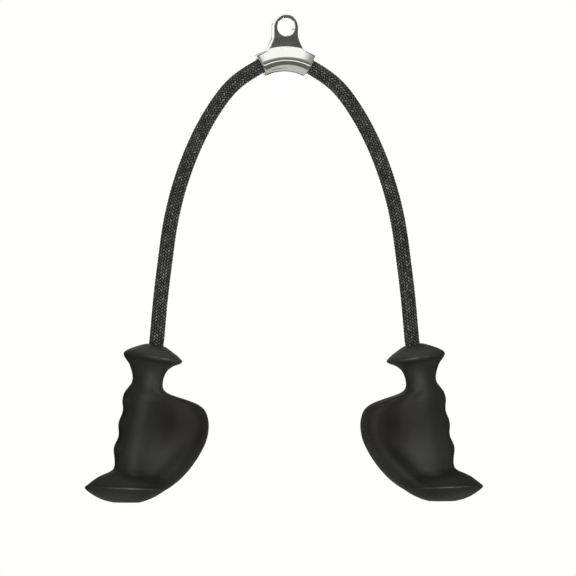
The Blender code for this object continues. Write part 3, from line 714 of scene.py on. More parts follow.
@dataclass
class Rope:
    """The whole rope: a tail in each grip, two free legs, and the arch that the hanger holds."""

    palette: Palette
    braid: Braid = field(default_factory=Braid)
    tail_length: float = 149.2 * MM
    tuck: float = 5.0 * MM
    mid_share: float = 0.5
    bend_hidden: float = 50.0 * MM
    bend_seen: float = 35.0 * MM
    spacing: float = 0.8 * MM
    smoothing_passes: int = 60
    path_points: int = 60

    def __post_init__(self) -> None:
        """Lay the rope's centreline."""
        self.route = self.centreline()

    def arch_point(self, angle: float) -> Vector:
        """A point of the arch, at an angle from its crown to the left."""
        return ARCH_CENTRE + Vector((-math.sin(angle), 0, math.cos(angle))) * ARCH_RADIUS

    def leg_curve(self) -> list:
        """The left leg on a smooth curve through its route, with its two end directions set.

        Returns:
            Points from the hanger's mouth to the grip's.
        """
        stops = [Vector((-out, 0, up)) for out, up in LEG_ROUTE]
        points = np.array([tuple(stop) for stop in (self.arch_point(ARCH_HALF_ANGLE), *stops, GRIP_MOUTH)])
        steps = np.linalg.norm(np.diff(points, axis=0), axis=1)
        chords = np.diff(points, axis=0) / steps[:, None]
        slopes = np.empty_like(points)
        slopes[0] = (-math.cos(ARCH_HALF_ANGLE), 0, -math.sin(ARCH_HALF_ANGLE))
        slopes[-1] = (-math.sin(GRIP_MOUTH_LEAN), 0, -math.cos(GRIP_MOUTH_LEAN))
        before, after = steps[:-1, None], steps[1:, None]
        slopes[1:-1] = (chords[:-1] * after + chords[1:] * before) / (before + after)
        curve = []
        for k, step in enumerate(steps):
            for t in np.linspace(0, 1, int(step / self.spacing), endpoint=False):
                curve.append(between(points[k], points[k + 1], (slopes[k] * step, slopes[k + 1] * step), t))
        return curve + [points[-1]]

    def centreline(self) -> Route:
        """The rope's whole centreline, from the left ferrule over the arch to the right one.

        Returns:
            The route, evenly spaced and with its small unevenness taken out.
        """
        down = np.array([-math.sin(GRIP_TILT), 0, -math.cos(GRIP_TILT)])
        leg = self.leg_curve()
        tail = [leg[-1] + down * at for at in np.arange(self.tail_length, 0, -self.spacing)]
        angles = np.linspace(ARCH_HALF_ANGLE, 0, int(ARCH_RADIUS * ARCH_HALF_ANGLE / self.spacing))
        arch = [np.array(self.arch_point(angle)) for angle in angles[1:]]
        left = np.array(tail + leg[::-1] + arch)
        whole = Route(np.concatenate([left, left[-2::-1] * np.array([-1, 1, 1])]))
        points = whole.at(np.arange(0, whole.length, self.spacing))
        for _ in range(self.smoothing_passes):
            points[1:-1] = (points[:-2] + 2 * points[1:-1] + points[2:]) / 4
        return Route(points)

    def build(self) -> None:
        """Make and dress every stretch, hide the model's stretches it stands for, and say what the arch and
        tails ride on.
        """
        centre = self.route.length / 2
        at_mouth = centre - self.route.nearest(self.arch_point(ARCH_HALF_ANGLE))
        at_grip = centre - self.route.nearest(GRIP_MOUTH)
        middle = self.braid.rings_in(centre)
        halfway = at_mouth + (at_grip - at_mouth) * self.mid_share
        marks = [at_mouth - self.tuck, halfway, at_grip + self.tuck, centre - 2 * self.braid.pitch]
        marks = [self.braid.rings_in(mark) for mark in marks]
        self._held("rope_arch", middle - marks[0], middle + marks[0], "hanger", "arch")
        for side in Side:
            name = side.value
            rings = [middle + side.outward * mark for mark in marks]
            self._leg_top(side, rings[0], rings[1])
            self._leg_foot(side, rings[1], rings[2])
            self._held(f"rope_tail_{name}", rings[2], rings[3], f"rope_end_{name}", f"tail_{name}")

    def _piece(self, name: str, one: int, two: int) -> Object:
        """A dressed stretch between two rings, in either order."""
        obj = linked(name, self.braid.mesh(name, self.route, min(one, two), max(one, two)))
        self.palette.dress(obj, "rope_sheath")
        LOG.info("%s: %d faces", name, len(obj.data.polygons))
        return obj

    def _held(self, name: str, one: int, two: int, body: str, stretch: str) -> None:
        """A stretch that is held fast by one body."""
        obj = self._piece(name, one, two)
        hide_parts(f"rope_sheath_{stretch}", f"rope_core_{stretch}")
        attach(obj, body)

    def _free(self, name: str, side: Side, one: int, two: int) -> Object:
        """Half of a leg, with the model's leg hidden.

        Args:
            name: the piece's name.
            side: the leg's side.
            one: the ring nearer to the arch.
            two: the ring nearer to the grip.

        Returns:
            The piece.
        """
        obj = self._piece(name, one, two)
        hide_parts(f"rope_sheath_leg_{side.value}", f"rope_core_leg_{side.value}")
        step = self.braid.pitch / self.braid.along_steps
        points = self.route.at(np.linspace(one * step, two * step, self.path_points))
        return obj

    def _leg_top(self, side: Side, one: int, two: int) -> None:
        """The upper half of a leg, next to the hanger."""
        name = side.value
        obj = self._free(f"rope_leg_top_{name}", side, one, two)
        mouth, along = self._mouth(side, self.arch_point(ARCH_HALF_ANGLE))
        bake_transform(obj)

    def _leg_foot(self, side: Side, one: int, two: int) -> None:
        """The lower half of a leg, next to the grip."""
        name = side.value
        obj = self._free(f"rope_leg_foot_{name}", side, one, two)
        mouth, along = self._mouth(side, GRIP_MOUTH)
        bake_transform(obj)

    def _mouth(self, side: Side, left: Vector) -> tuple:
        """A mouth that the rope passes, on this side, and its direction there away from the arch."""
        mouth = side.turn @ left
        here = self.route.nearest(mouth)
        near, far = self.route.at(np.array([here, here + side.outward * self.spacing]))
        return mouth, Vector(far - near).normalized()


# Hanger
@dataclass
class Hanger:
    """The chromed casting: a saddle arched over the rope, and the thick lug with the eye."""

    palette: Palette
    bore_radius: float = ROPE_DIAMETER / 2 + 0.3 * MM
    wall: float = 3.7 * MM
    flank_lean: float = 18.0 * DEG
    top_heights: tuple = (14.8 * MM, 14.8 * MM, 13.9 * MM, 12.3 * MM, 11.4 * MM, 11.0 * MM, 10.1 * MM)
    top_angles: tuple = (0.0, 12.0 * DEG, 14.0 * DEG, 15.5 * DEG, 16.5 * DEG, 18.0 * DEG, 28.0 * DEG)
    end_round: float = 1.5 * MM
    mouth_round: float = 1.1 * MM
    lug_thickness: float = 15.5 * MM
    lug_edge_round: float = 0.8 * MM
    lug_half_width: float = 12.1 * MM
    lug_crown: float = 12.9 * MM
    lug_straight: float = 8.0 * MM
    lug_foot_half: float = 18.2 * MM
    flare_power: float = 1.5
    eye_radius: float = 9.1 * MM
    eye_round: float = 0.25 * MM
    parting_ridge: float = 0.25 * MM
    crisp_angle: float = 12 * DEG
    rim_rise: float = 12.6 * MM
    rim_end_rise: float = 11.5 * MM
    rim_round: float = 0.5 * MM
    rim_end_round: float = 0.7 * MM
    rim_set_back: float = 0.05 * MM
    rim_foot: float = 8.5 * MM
    overrun: float = 5.0 * MM
    weld_reach: float = 0.001 * MM
    round_steps: int = 96
    arch_steps: int = 72
    end_steps: int = 10
    eye_steps: int = 4
    edge_steps: int = 9
    crown_points: int = 48
    flare_points: int = 24
    foot_points: int = 20

    def saddle_section(self, angle: float, inset: float) -> list:
        """The saddle's outline at an angle along the arch: higher behind the lug, and under the rim past it.

        Args:
            angle: the angle from the arch's crown.
            inset: how far the outline is drawn in.

        Returns:
            Pairs of height over the rope's centre and depth.
        """
        radius = self.bore_radius + self.wall - inset
        height = float(np.interp(abs(angle), self.top_angles, self.top_heights)) - inset
        half = (radius - height * math.sin(self.flank_lean)) / math.cos(self.flank_lean)
        touch = QUARTER_TURN - self.flank_lean
        outline = on_circle(radius, np.linspace(touch, FULL_TURN - touch, self.round_steps))
        return [(height, half), *outline, (height, -half)]

    def rim_section(self, angle: float, inset: float) -> list:
        """The outline of the rim on the saddle's top: a bar with its upper edges rounded.

        Args:
            angle: the angle from the arch's crown.
            inset: how far the outline is drawn in.

        Returns:
            Pairs of height over the rope's centre and depth.
        """
        rise = self.rim_rise + (self.rim_end_rise - self.rim_rise) * abs(angle) / ARCH_HALF_ANGLE - inset
        half = self.lug_thickness / 2 - self.rim_set_back - inset
        front = [(self.rim_foot, half)]
        for inward, drop in quarter_round(self.edge_steps):
            front.append((rise - self.rim_round * drop, half - self.rim_round * inward))
        return front + [(height, -depth) for height, depth in front[::-1]]

    def bore_section(self, _angle: float, inset: float) -> list:
        """The bore's outline, which a negative inset flares."""
        angles = np.linspace(0, FULL_TURN, self.round_steps, endpoint=False)
        return on_circle(self.bore_radius - inset, angles)

    def stations(self, round_radius: float, sign: int) -> list:
        """Angles along the arch with insets that round the two ends.

        Args:
            round_radius: the radius of the rounded edges.
            sign: 1 draws the outline in at the ends, and -1 flares it.

        Returns:
            Pairs of an angle and an inset.
        """
        ends = []
        for back, inset in quarter_round(self.end_steps)[:-1]:
            angle = ARCH_HALF_ANGLE - round_radius * back / ARCH_RADIUS
            ends.append((angle, sign * round_radius * inset))
        inner = ARCH_HALF_ANGLE - round_radius / ARCH_RADIUS
        middle = [(angle, 0.0) for angle in np.linspace(-inner, inner, self.arch_steps)]
        return [(-angle, inset) for angle, inset in ends] + middle + ends[::-1]

    def swept(self, stations: list, section: Callable) -> Mesh:
        """Sections lofted along the rope's arch.

        Args:
            stations: pairs of an angle and an inset.
            section: the method that gives each outline.

        Returns:
            The mesh.
        """
        rings = []
        for angle, inset in stations:
            turn = Matrix.Translation(ARCH_CENTRE) @ Matrix.Rotation(angle, 4, "Y")
            outline = section(angle, inset)
            rings.append([turn @ Vector((0, across, ARCH_RADIUS + height)) for height, across in outline])
        return loft(rings)

    def over_arch(self, angle: float, height: float) -> tuple:
        """The (x, z) of a point at a height over the rope's centre, along the arch to the right."""
        radius = ARCH_RADIUS + height
        return radius * math.sin(angle), ARCH_CENTRE.z + radius * math.cos(angle)

    def lug_outline(self) -> list:
        """The outline of the lug, down into the saddle, as (x, z) points."""
        foot_angle = math.asin(self.lug_foot_half / (ARCH_RADIUS + self.rim_rise))
        right = []
        for angle in np.linspace(QUARTER_TURN, 0, self.crown_points):
            right.append((self.lug_half_width * math.cos(angle), self.lug_crown * math.sin(angle)))
        foot = self.over_arch(foot_angle, self.rim_rise)
        flare, fall = foot[0] - self.lug_half_width, foot[1] + self.lug_straight
        for share in np.linspace(0, 1, self.flare_points):
            out = self.lug_half_width + flare * share**self.flare_power
            right.append((out, fall * share - self.lug_straight))
        angles = np.linspace(foot_angle, 0, self.foot_points)
        right.extend(self.over_arch(angle, self.rim_foot) for angle in angles)
        return right + [(-x, z) for x, z in right[1:-1]][::-1]

    def lug(self) -> Mesh:
        """The lug as a thick plate with rounded edges, whose side bulges a trace at the parting line.

        Returns:
            The mesh.
        """
        curve = bpy.data.curves.new("lug_outline", "CURVE")
        curve.dimensions = "2D"
        curve.fill_mode = "BOTH"
        curve.extrude = self.lug_thickness / 2 - self.lug_edge_round
        curve.bevel_depth = self.lug_edge_round
        curve.bevel_resolution = self.edge_steps
        curve.offset = -self.lug_edge_round
        outline = self.lug_outline()
        spline = curve.splines.new("POLY")
        spline.points.add(len(outline) - 1)
        spline.use_cyclic_u = True
        for point, (x, z) in zip(spline.points, outline):
            point.co = (x, z, 0, 1)
        mesh = settled(linked("lug_outline", curve))
        bpy.data.curves.remove(curve)
        mesh.transform(Matrix.Rotation(QUARTER_TURN, 4, "X"))
        bm = bmesh.new()
        bm.from_mesh(mesh)
        bmesh.ops.remove_doubles(bm, verts=bm.verts[:], dist=self.weld_reach)
        everything = [*bm.verts, *bm.edges, *bm.faces]
        cut = bmesh.ops.bisect_plane(bm, geom=everything, plane_co=(0, 0, 0), plane_no=(0, 1, 0))
        bm.normal_update()
        for item in cut["geom_cut"]:
            if isinstance(item, bmesh.types.BMVert):
                item.co += item.normal * self.parting_ridge
        bm.to_mesh(mesh)
        bm.free()
        return mesh

    def eye(self) -> Mesh:
        """The tool that cuts the eye, with a small round at its two edges.

        Returns:
            The mesh.
        """
        half = self.lug_thickness / 2
        upper = [(self.eye_radius + self.eye_round, half + self.overrun)]
        for drop, out in quarter_round(self.eye_steps):
            upper.append((self.eye_radius + self.eye_round * out, half - self.eye_round * drop))
        lower = [(radius, -height) for radius, height in upper[::-1]]
        mesh = turned(upper + lower, self.round_steps)
        mesh.transform(Matrix.Rotation(QUARTER_TURN, 4, "X"))
        return mesh

    def build(self) -> None:
        """Make the casting, dress it, and let it stand for the model's."""
        saddle = self.swept(self.stations(self.end_round, 1), self.saddle_section)
        past = ARCH_HALF_ANGLE + self.overrun / ARCH_RADIUS
        flared = self.stations(self.mouth_round, -1)
        flared = [(-past, -self.mouth_round), *flared, (past, -self.mouth_round)]
        bore = self.swept(flared, self.bore_section)
        rim = self.swept(self.stations(self.rim_end_round, 1), self.rim_section)
        steps = [("UNION", rim), ("UNION", self.lug()), ("DIFFERENCE", bore), ("DIFFERENCE", self.eye())]
        mesh = combined(saddle, *steps)
        mesh.shade_smooth()
        mesh.set_sharp_from_angle(angle=self.crisp_angle)
        weighed = linked("weighed", mesh)
        weighed.modifiers.new("flats", "WEIGHTED_NORMAL").keep_sharp = True
        obj = linked("chromed_hanger", settled(weighed))
        self.palette.dress(obj, "chrome")
        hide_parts("hanger_casting")
        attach(obj, "hanger")
        LOG.info("%s: %d faces", obj.name, len(obj.data.polygons))


# Grips
@dataclass(frozen=True)
class PalmSection:
    """The palm side of one cross-section, from the grip's axis to the rim."""

    reach: float
    spine: float
    rim: float
    dish: float
    rim_share: float

    def half_depth(self, inwards: float) -> float:
        """Half the thickness at a distance from the axis: past the spine, the dish and then the round rim."""
        rounded = self.reach * self.rim_share
        flat = self.reach - rounded
        if inwards >= flat:
            over = min((inwards - flat) / rounded, 1)
            return self.rim * math.sqrt(1 - over * over)
        share = inwards / flat
        dip = self.dish * math.sin(math.pi * share) ** 2
        return self.spine + (self.rim - self.spine) * eased(share) - dip


@dataclass(frozen=True)
class Patch:
    """A soft patch of the rubber: its middle and reach, as (inwards, down) shares of the grip."""

    middle: tuple
    reach: tuple
    weight: float = 1.0

    def at(self, inwards: float, down: float) -> float:
        """How strong the patch is at a place."""
        across, along = (inwards - self.middle[0]) / self.reach[0], (down - self.middle[1]) / self.reach[1]
        return self.weight * math.exp(-across * across - along * along)


def bell(distance: float, reach: float) -> float:
    """1 at no distance, falling softly to 0 past the reach."""
    return math.exp(-((distance / reach) ** 2))


@dataclass(frozen=True)
class GripLightShadeAndWear:
    """Where the rubber gets painted highlights and wear, painted light, brown with painted shade in the
    hollow, and painted shade, and how strongly.
    """

    # The palm's hollow: a brown tint with painted shade
    basin: Patch = Patch((0.55, 0.45), (0.42, 0.12))
    basin_steps: float = 6
    # Painted highlights along the flange's and ledge's edges and on the palm's lip; wear on the ridges
    edge_weight: float = 1.2
    edge_rows: float = 0.20
    flange_highlight: tuple = (0.10, 0.20)
    ledge_highlight: tuple = (-0.02, 0.30)
    lip_weight: float = 0.3
    lip_steps: float = 5.0
    lip_down: tuple = (0.35, 0.85)
    ridge_weight: float = 0.3
    ridge_power: int = 6
    # Painted light on the neck front, the low palm, the foot and the top
    painted_light: tuple = (
        Patch((0.20, 0.67), (0.34, 0.13), 0.8),
        Patch((0.05, 0.24), (0.12, 0.09), 0.85),
        Patch((-0.1, 0.97), (0.5, 0.03), 0.65),
        Patch((0.05, 0.05), (0.5, 0.03), 0.65),
    )
    fingers: Patch = Patch((-0.36, 0.58), (0.15, 0.24))
    fillet: Patch = Patch((0.0, 0.825), (0.5, 0.035))
    band: Patch = Patch((0.58, 0.66), (0.14, 0.20))
    band_lean: float = 1.5
    band_down: float = 0.65
    spine_weight: float = 0.35
    spine_steps: float = 3.5
    spine_down: tuple = (0.35, 0.8)
    crease_weight: float = 0.6
    crease_rows: float = 0.5
    flange_crease: float = 1.3
    ledge_crease: float = -0.8


@dataclass
class Grip:
    """One moulded grip: top flange, neck, finger grooves, palm shelf with its dish, and foot ledge."""

    palette: Palette
    side: Side
    # Painted light and shade on the rubber, and the ridges' wear
    wear: GripLightShadeAndWear = field(default_factory=GripLightShadeAndWear)
    length: float = 162.9 * MM
    ledge_reach: float = 43.9 * MM
    palm_reach: float = 68.4 * MM
    half_depth: float = 28.0 * MM
    dish_depth: float = 3.4 * MM
    groove_depth: float = 2.4 * MM
    first_ridge: float = 59.0 * MM
    finger_pitch: float = 25.0 * MM
    grooves: int = 3
    bore_radius: float = ROPE_DIAMETER / 2 + 0.4 * MM
    mouth_radius: float = 9.1 * MM
    mouth_flare: float = 3.8 * MM
    bend_radius: float = 10.0 * MM
    bend_depth: float = 4.2 * MM
    pocket_radius: float = 11.0 * MM
    pocket_depth: float = 32.0 * MM
    overrun: float = 5.0 * MM
    bore_steps: int = 72
    station_steps: int = 4
    outer_steps: int = 18
    inner_steps: int = 26
    flange_row: float = 5.0
    ledge_row: float = 36.0
    softened_rows: tuple = (10, 31)
    softening_passes: int = 8
    crease: float = 0.5 * MM
    crease_rows: float = 0.45
    crease_power: float = 1.5
    crisp_angle: float = 40 * DEG

    def place(self) -> Matrix:
        """Where the grip hangs: its own frame has -Z down the grip and +X towards the palm."""
        return self.side.turn @ Matrix.Translation(GRIP_MOUTH) @ Matrix.Rotation(GRIP_TILT, 4, "Y")

    def sections(self) -> tuple:
        """The table's rows, filled in smoothly between them.

        Returns:
            The row numbers and the rows.
        """
        table = np.array(GRIP_SECTIONS) / 1000
        first, last = self.softened_rows
        for _ in range(self.softening_passes):
            around = table[first - 1 : last - 1, 4:] + table[first + 1 : last + 1, 4:]
            table[first:last, 4:] = table[first:last, 4:] / 2 + around / 4
        count = len(table)
        at = np.linspace(0, count - 1, (count - 1) * self.station_steps + 1)
        low = np.minimum(at.astype(int), count - 2)
        before, one, two, after = (table[np.clip(low + k, 0, count - 1)] for k in (-1, 0, 1, 2))
        return at, between(one, two, ((two - before) / 2, (after - one) / 2), (at - low)[:, None])

    def ridges_past(self, down: float) -> float:
        """How many finger grooves lie above a distance down the grip."""
        return (down - self.first_ridge) / self.finger_pitch

    def groove_at(self, down: float) -> float:
        """How far the finger grooves cut in, at a distance down the grip."""
        past = self.ridges_past(down)
        return self.groove_depth * math.sin(math.pi * past) ** 2 if 0 <= past <= self.grooves else 0

    def ring(self, at: float, row: np.ndarray) -> list:
        """One cross-section's points.

        Args:
            at: the row number.
            row: the section's shares.

        Returns:
            Points round from the finger side to the palm side and back.
        """
        outer_down, outer_reach, inner_down, inner_reach, spine, rim, dish, rim_share = row
        outer_z, inner_z = -outer_down * self.length, -inner_down * self.length
        outer_x = self.groove_at(-outer_z) - outer_reach * self.ledge_reach
        nearest = min(abs(at - self.flange_row), abs(at - self.ledge_row))
        lip = self.crease * max(0, 1 - nearest / self.crease_rows) ** self.crease_power
        palm = PalmSection(
            reach=inner_reach * self.palm_reach,
            spine=spine * self.half_depth + lip,
            rim=rim * self.half_depth + lip,
            dish=max(dish, 0) * self.dish_depth,
            rim_share=min(rim_share, 1),
        )
        half = []
        for step in range(self.outer_steps):
            angle = QUARTER_TURN * step / self.outer_steps
            half.append((outer_x * math.cos(angle), palm.spine * math.sin(angle)))
        for step in range(self.inner_steps + 1):
            inwards = palm.reach * math.sin(QUARTER_TURN * step / self.inner_steps)
            half.append((inwards, palm.half_depth(inwards)))
        around = half + [(x, -y) for x, y in half[1:-1][::-1]]
        slope = (inner_z - outer_z) / (palm.reach - outer_x)
        return [Vector((x, y, outer_z + (x - outer_x) * slope)) for x, y in around]

    def bore(self) -> Mesh:
        """The tool that cuts the mouth, with room for the rope to bend, then the bore and the foot's pocket.

        Returns:
            The mesh.
        """
        floor, end = self.pocket_depth - self.length, -self.length - self.overrun
        narrowed = self.bore_radius - self.bend_radius - self.bend_depth
        profile = [
            (self.mouth_radius + self.mouth_flare, self.overrun),
            (self.mouth_radius, 0),
            (self.bend_radius, -self.bend_depth),
            (self.bore_radius, narrowed),
            (self.bore_radius, floor),
            (self.pocket_radius, floor),
            (self.pocket_radius, end),
        ]
        return turned(profile, self.bore_steps)

    def shade(self, mesh: Mesh, stations: np.ndarray, rings: list) -> None:
        """Keep on the mesh the hollow's brown with painted shade, the painted highlights and wear, the
        painted light and the painted shade.

        Args:
            mesh: the grip's mesh, in its own frame.
            stations: the row number of each ring.
            rings: the rings that it was lofted through.
        """
        count = len(rings[0])
        tree = KDTree(len(rings) * count)
        for i, ring in enumerate(rings):
            for j, point in enumerate(ring):
                tree.insert(point, i * count + j)
        tree.balance()
        marks = {"hollow_tint_and_shade": [], "highlight_and_wear": [], "painted_light": [], "shaded": []}
        for vertex in mesh.vertices:
            _, index, _ = tree.find(vertex.co)
            at, step = stations[index // count], min(index % count, count - index % count)
            down, inwards = -vertex.co.z / self.length, vertex.co.x / self.palm_reach
            past_spine = min(1.0, max(0.0, (step - self.outer_steps) / self.wear.basin_steps))
            # The hollow's brown with painted shade, painted highlights and wear, painted light, and painted
            # shade
            marks["hollow_tint_and_shade"].append(self.wear.basin.at(inwards, down) * past_spine)
            marks["highlight_and_wear"].append(self.highlight_and_wear_at(inwards, down, at, step))
            marks["painted_light"].append(min(1.0, sum(patch.at(inwards, down) for patch in self.wear.painted_light)))
            marks["shaded"].append(self.shaded_at(inwards, down, at, step))
        for name, values in marks.items():
            mesh.attributes.new(name, "FLOAT", "POINT").data.foreach_set("value", values)

    def highlight_and_wear_at(self, inwards: float, down: float, at: float, step: int) -> float:
        """How strong the painted highlight and wear are at a place: highlights on the flange's and ledge's
        edges and the palm's lip, wear on the ridges.

        Args:
            inwards: its distance from the axis, as a share of the palm's reach.
            down: its distance from the top, as a share of the length.
            at: the row number.
            step: the ring's point, from the finger side's middle.

        Returns:
            The painted highlight and wear, from 0 to 1.
        """
        wear = self.wear
        highlight_and_wear = []
        for row, (middle, reach) in ((self.flange_row, wear.flange_highlight), (self.ledge_row, wear.ledge_highlight)):
            from_edge = math.exp(-abs(at - row) / wear.edge_rows)
            highlight_and_wear.append(wear.edge_weight * bell(inwards - middle, reach) * from_edge)
        if wear.lip_down[0] < down < wear.lip_down[1]:
            from_lip = self.outer_steps + self.inner_steps - step
            highlight_and_wear.append(wear.lip_weight * bell(from_lip, wear.lip_steps))
        past = self.ridges_past(down * self.length)
        if 0 < past < self.grooves and step <= self.outer_steps / 2:
            facing = wear.ridge_weight * (1 - 2 * step / self.outer_steps)
            highlight_and_wear.append(facing * math.cos(math.pi * past) ** wear.ridge_power)
        return max(highlight_and_wear)

    def shaded_at(self, inwards: float, down: float, at: float, step: int) -> float:
        """How shaded a place is: most between the fingers, over the ledge and inside the palm's rim.

        Args:
            inwards: its distance from the axis, as a share of the palm's reach.
            down: its distance from the top, as a share of the length.
            at: the row number.
            step: the ring's point, from the finger side's middle.

        Returns:
            The shade, from 0 to 1.
        """
        wear = self.wear
        leaning = inwards + wear.band_lean * (down - wear.band_down)
        shaded = wear.fingers.at(inwards, down) + wear.fillet.at(inwards, down) + wear.band.at(leaning, down)
        if wear.spine_down[0] < down < wear.spine_down[1]:
            shaded += wear.spine_weight * bell(step - self.outer_steps, wear.spine_steps)
        creases = (self.flange_row + wear.flange_crease, self.ledge_row + wear.ledge_crease)
        shaded += wear.crease_weight * max(bell(at - row, wear.crease_rows) for row in creases)
        return min(1.0, shaded)

    def build(self) -> None:
        """Make the grip, dress it, and let it stand for the model's."""
        name = self.side.value
        stations, rows = self.sections()
        rings = [self.ring(at, row) for at, row in zip(stations, rows)]
        mesh = combined(loft(rings), ("DIFFERENCE", self.bore()))
        self.shade(mesh, stations, rings)
        mesh.transform(self.place())
        mesh.shade_smooth()
        mesh.set_sharp_from_angle(angle=self.crisp_angle)
        obj = linked(f"rubber_grip_{name}", mesh)
        self.palette.dress(obj, "grip_rubber")
        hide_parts(f"grip_{name}")
        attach(obj, f"grip_{name}")
        LOG.info("%s: %d faces", obj.name, len(mesh.polygons))


@dataclass
class RopeEndFittings:
    """The ferrule, washer and foot plug of each side, which keep the model's own shapes."""

    palette: Palette
    slots: tuple = (
        ("ferrule", "ferrule_steel"),
        ("thrust_washer", "washer_nylon"),
        ("foot_plug", "plug_plastic"),
    )

    def build(self) -> None:
        """Dress the model's own nodes."""
        for side in Side:
            for node, slot in self.slots:
                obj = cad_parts[f"{node}_{side.value}"]
                self.palette.dress(obj, slot)
                LOG.info("%s: %s", obj.name, slot)


# Studio
FLOOR_HEIGHT = -0.74
CARD_TOP = 0.44
WHOLE_HEIGHT = (FLOOR_HEIGHT, CARD_TOP)
COLLAR_HEIGHTS = (-0.022, 0.085)
COLLAR_RADIUS = 0.61

# Heights and levels: dark walls with a bright line and a pale top, and a dark collar behind the lamps
WALL = (
    (FLOOR_HEIGHT, 0.12), (-0.135, 0.12), (-0.115, 1.0), (-0.036, 1.0), (-0.024, 0.08), (0.030, 0.10),
    (0.085, 0.17), (0.150, 0.20), (0.290, 0.34), (0.350, 1.0), (CARD_TOP, 1.0),
)
COLLAR = ((FLOOR_HEIGHT, 0.075), (0.0, 0.075), (0.03, 0.11), (CARD_TOP, 0.15))


def faced(obj: Object, direction: Vector) -> None:
    """Turn a lamp or camera to face a direction, upright."""
    obj.rotation_mode = "QUATERNION"
    obj.rotation_quaternion = direction.to_track_quat("-Z", "Y")


@dataclass(frozen=True)
class Lamp:
    """A square soft lamp that faces the middle of the object, and shows in gloss where it is mirrored."""

    name: str
    place: tuple
    size: float
    power: float
    mirrored: bool = False
    aim: tuple = (0.0, 0.0, -0.3)

    def build(self) -> None:
        """Hang the lamp."""
        data = bpy.data.lights.new(self.name, "AREA")
        data.shape = "SQUARE"
        data.size = self.size
        data.energy = self.power
        obj = linked(self.name, data)
        obj.location = self.place
        obj.visible_glossy = self.mirrored
        faced(obj, Vector(self.aim) - Vector(self.place))


def even(level: float) -> tuple:
    """The stops of a card with one level."""
    return (FLOOR_HEIGHT, level), (CARD_TOP, level)


@dataclass(frozen=True)
class Card:
    """A card that only gloss shows, bent round the object between two azimuths in degrees."""

    name: str
    turn: tuple
    heights: tuple
    stops: tuple
    radius: float = 0.62
    steps: int = 64

    def points(self) -> list:
        """Its points, in two rows."""
        angles = np.linspace(self.turn[0] * DEG, self.turn[1] * DEG, self.steps)
        rows = [(self.radius * math.sin(a), -self.radius * math.cos(a)) for a in angles]
        return [(x, y, z) for z in self.heights for x, y in rows]


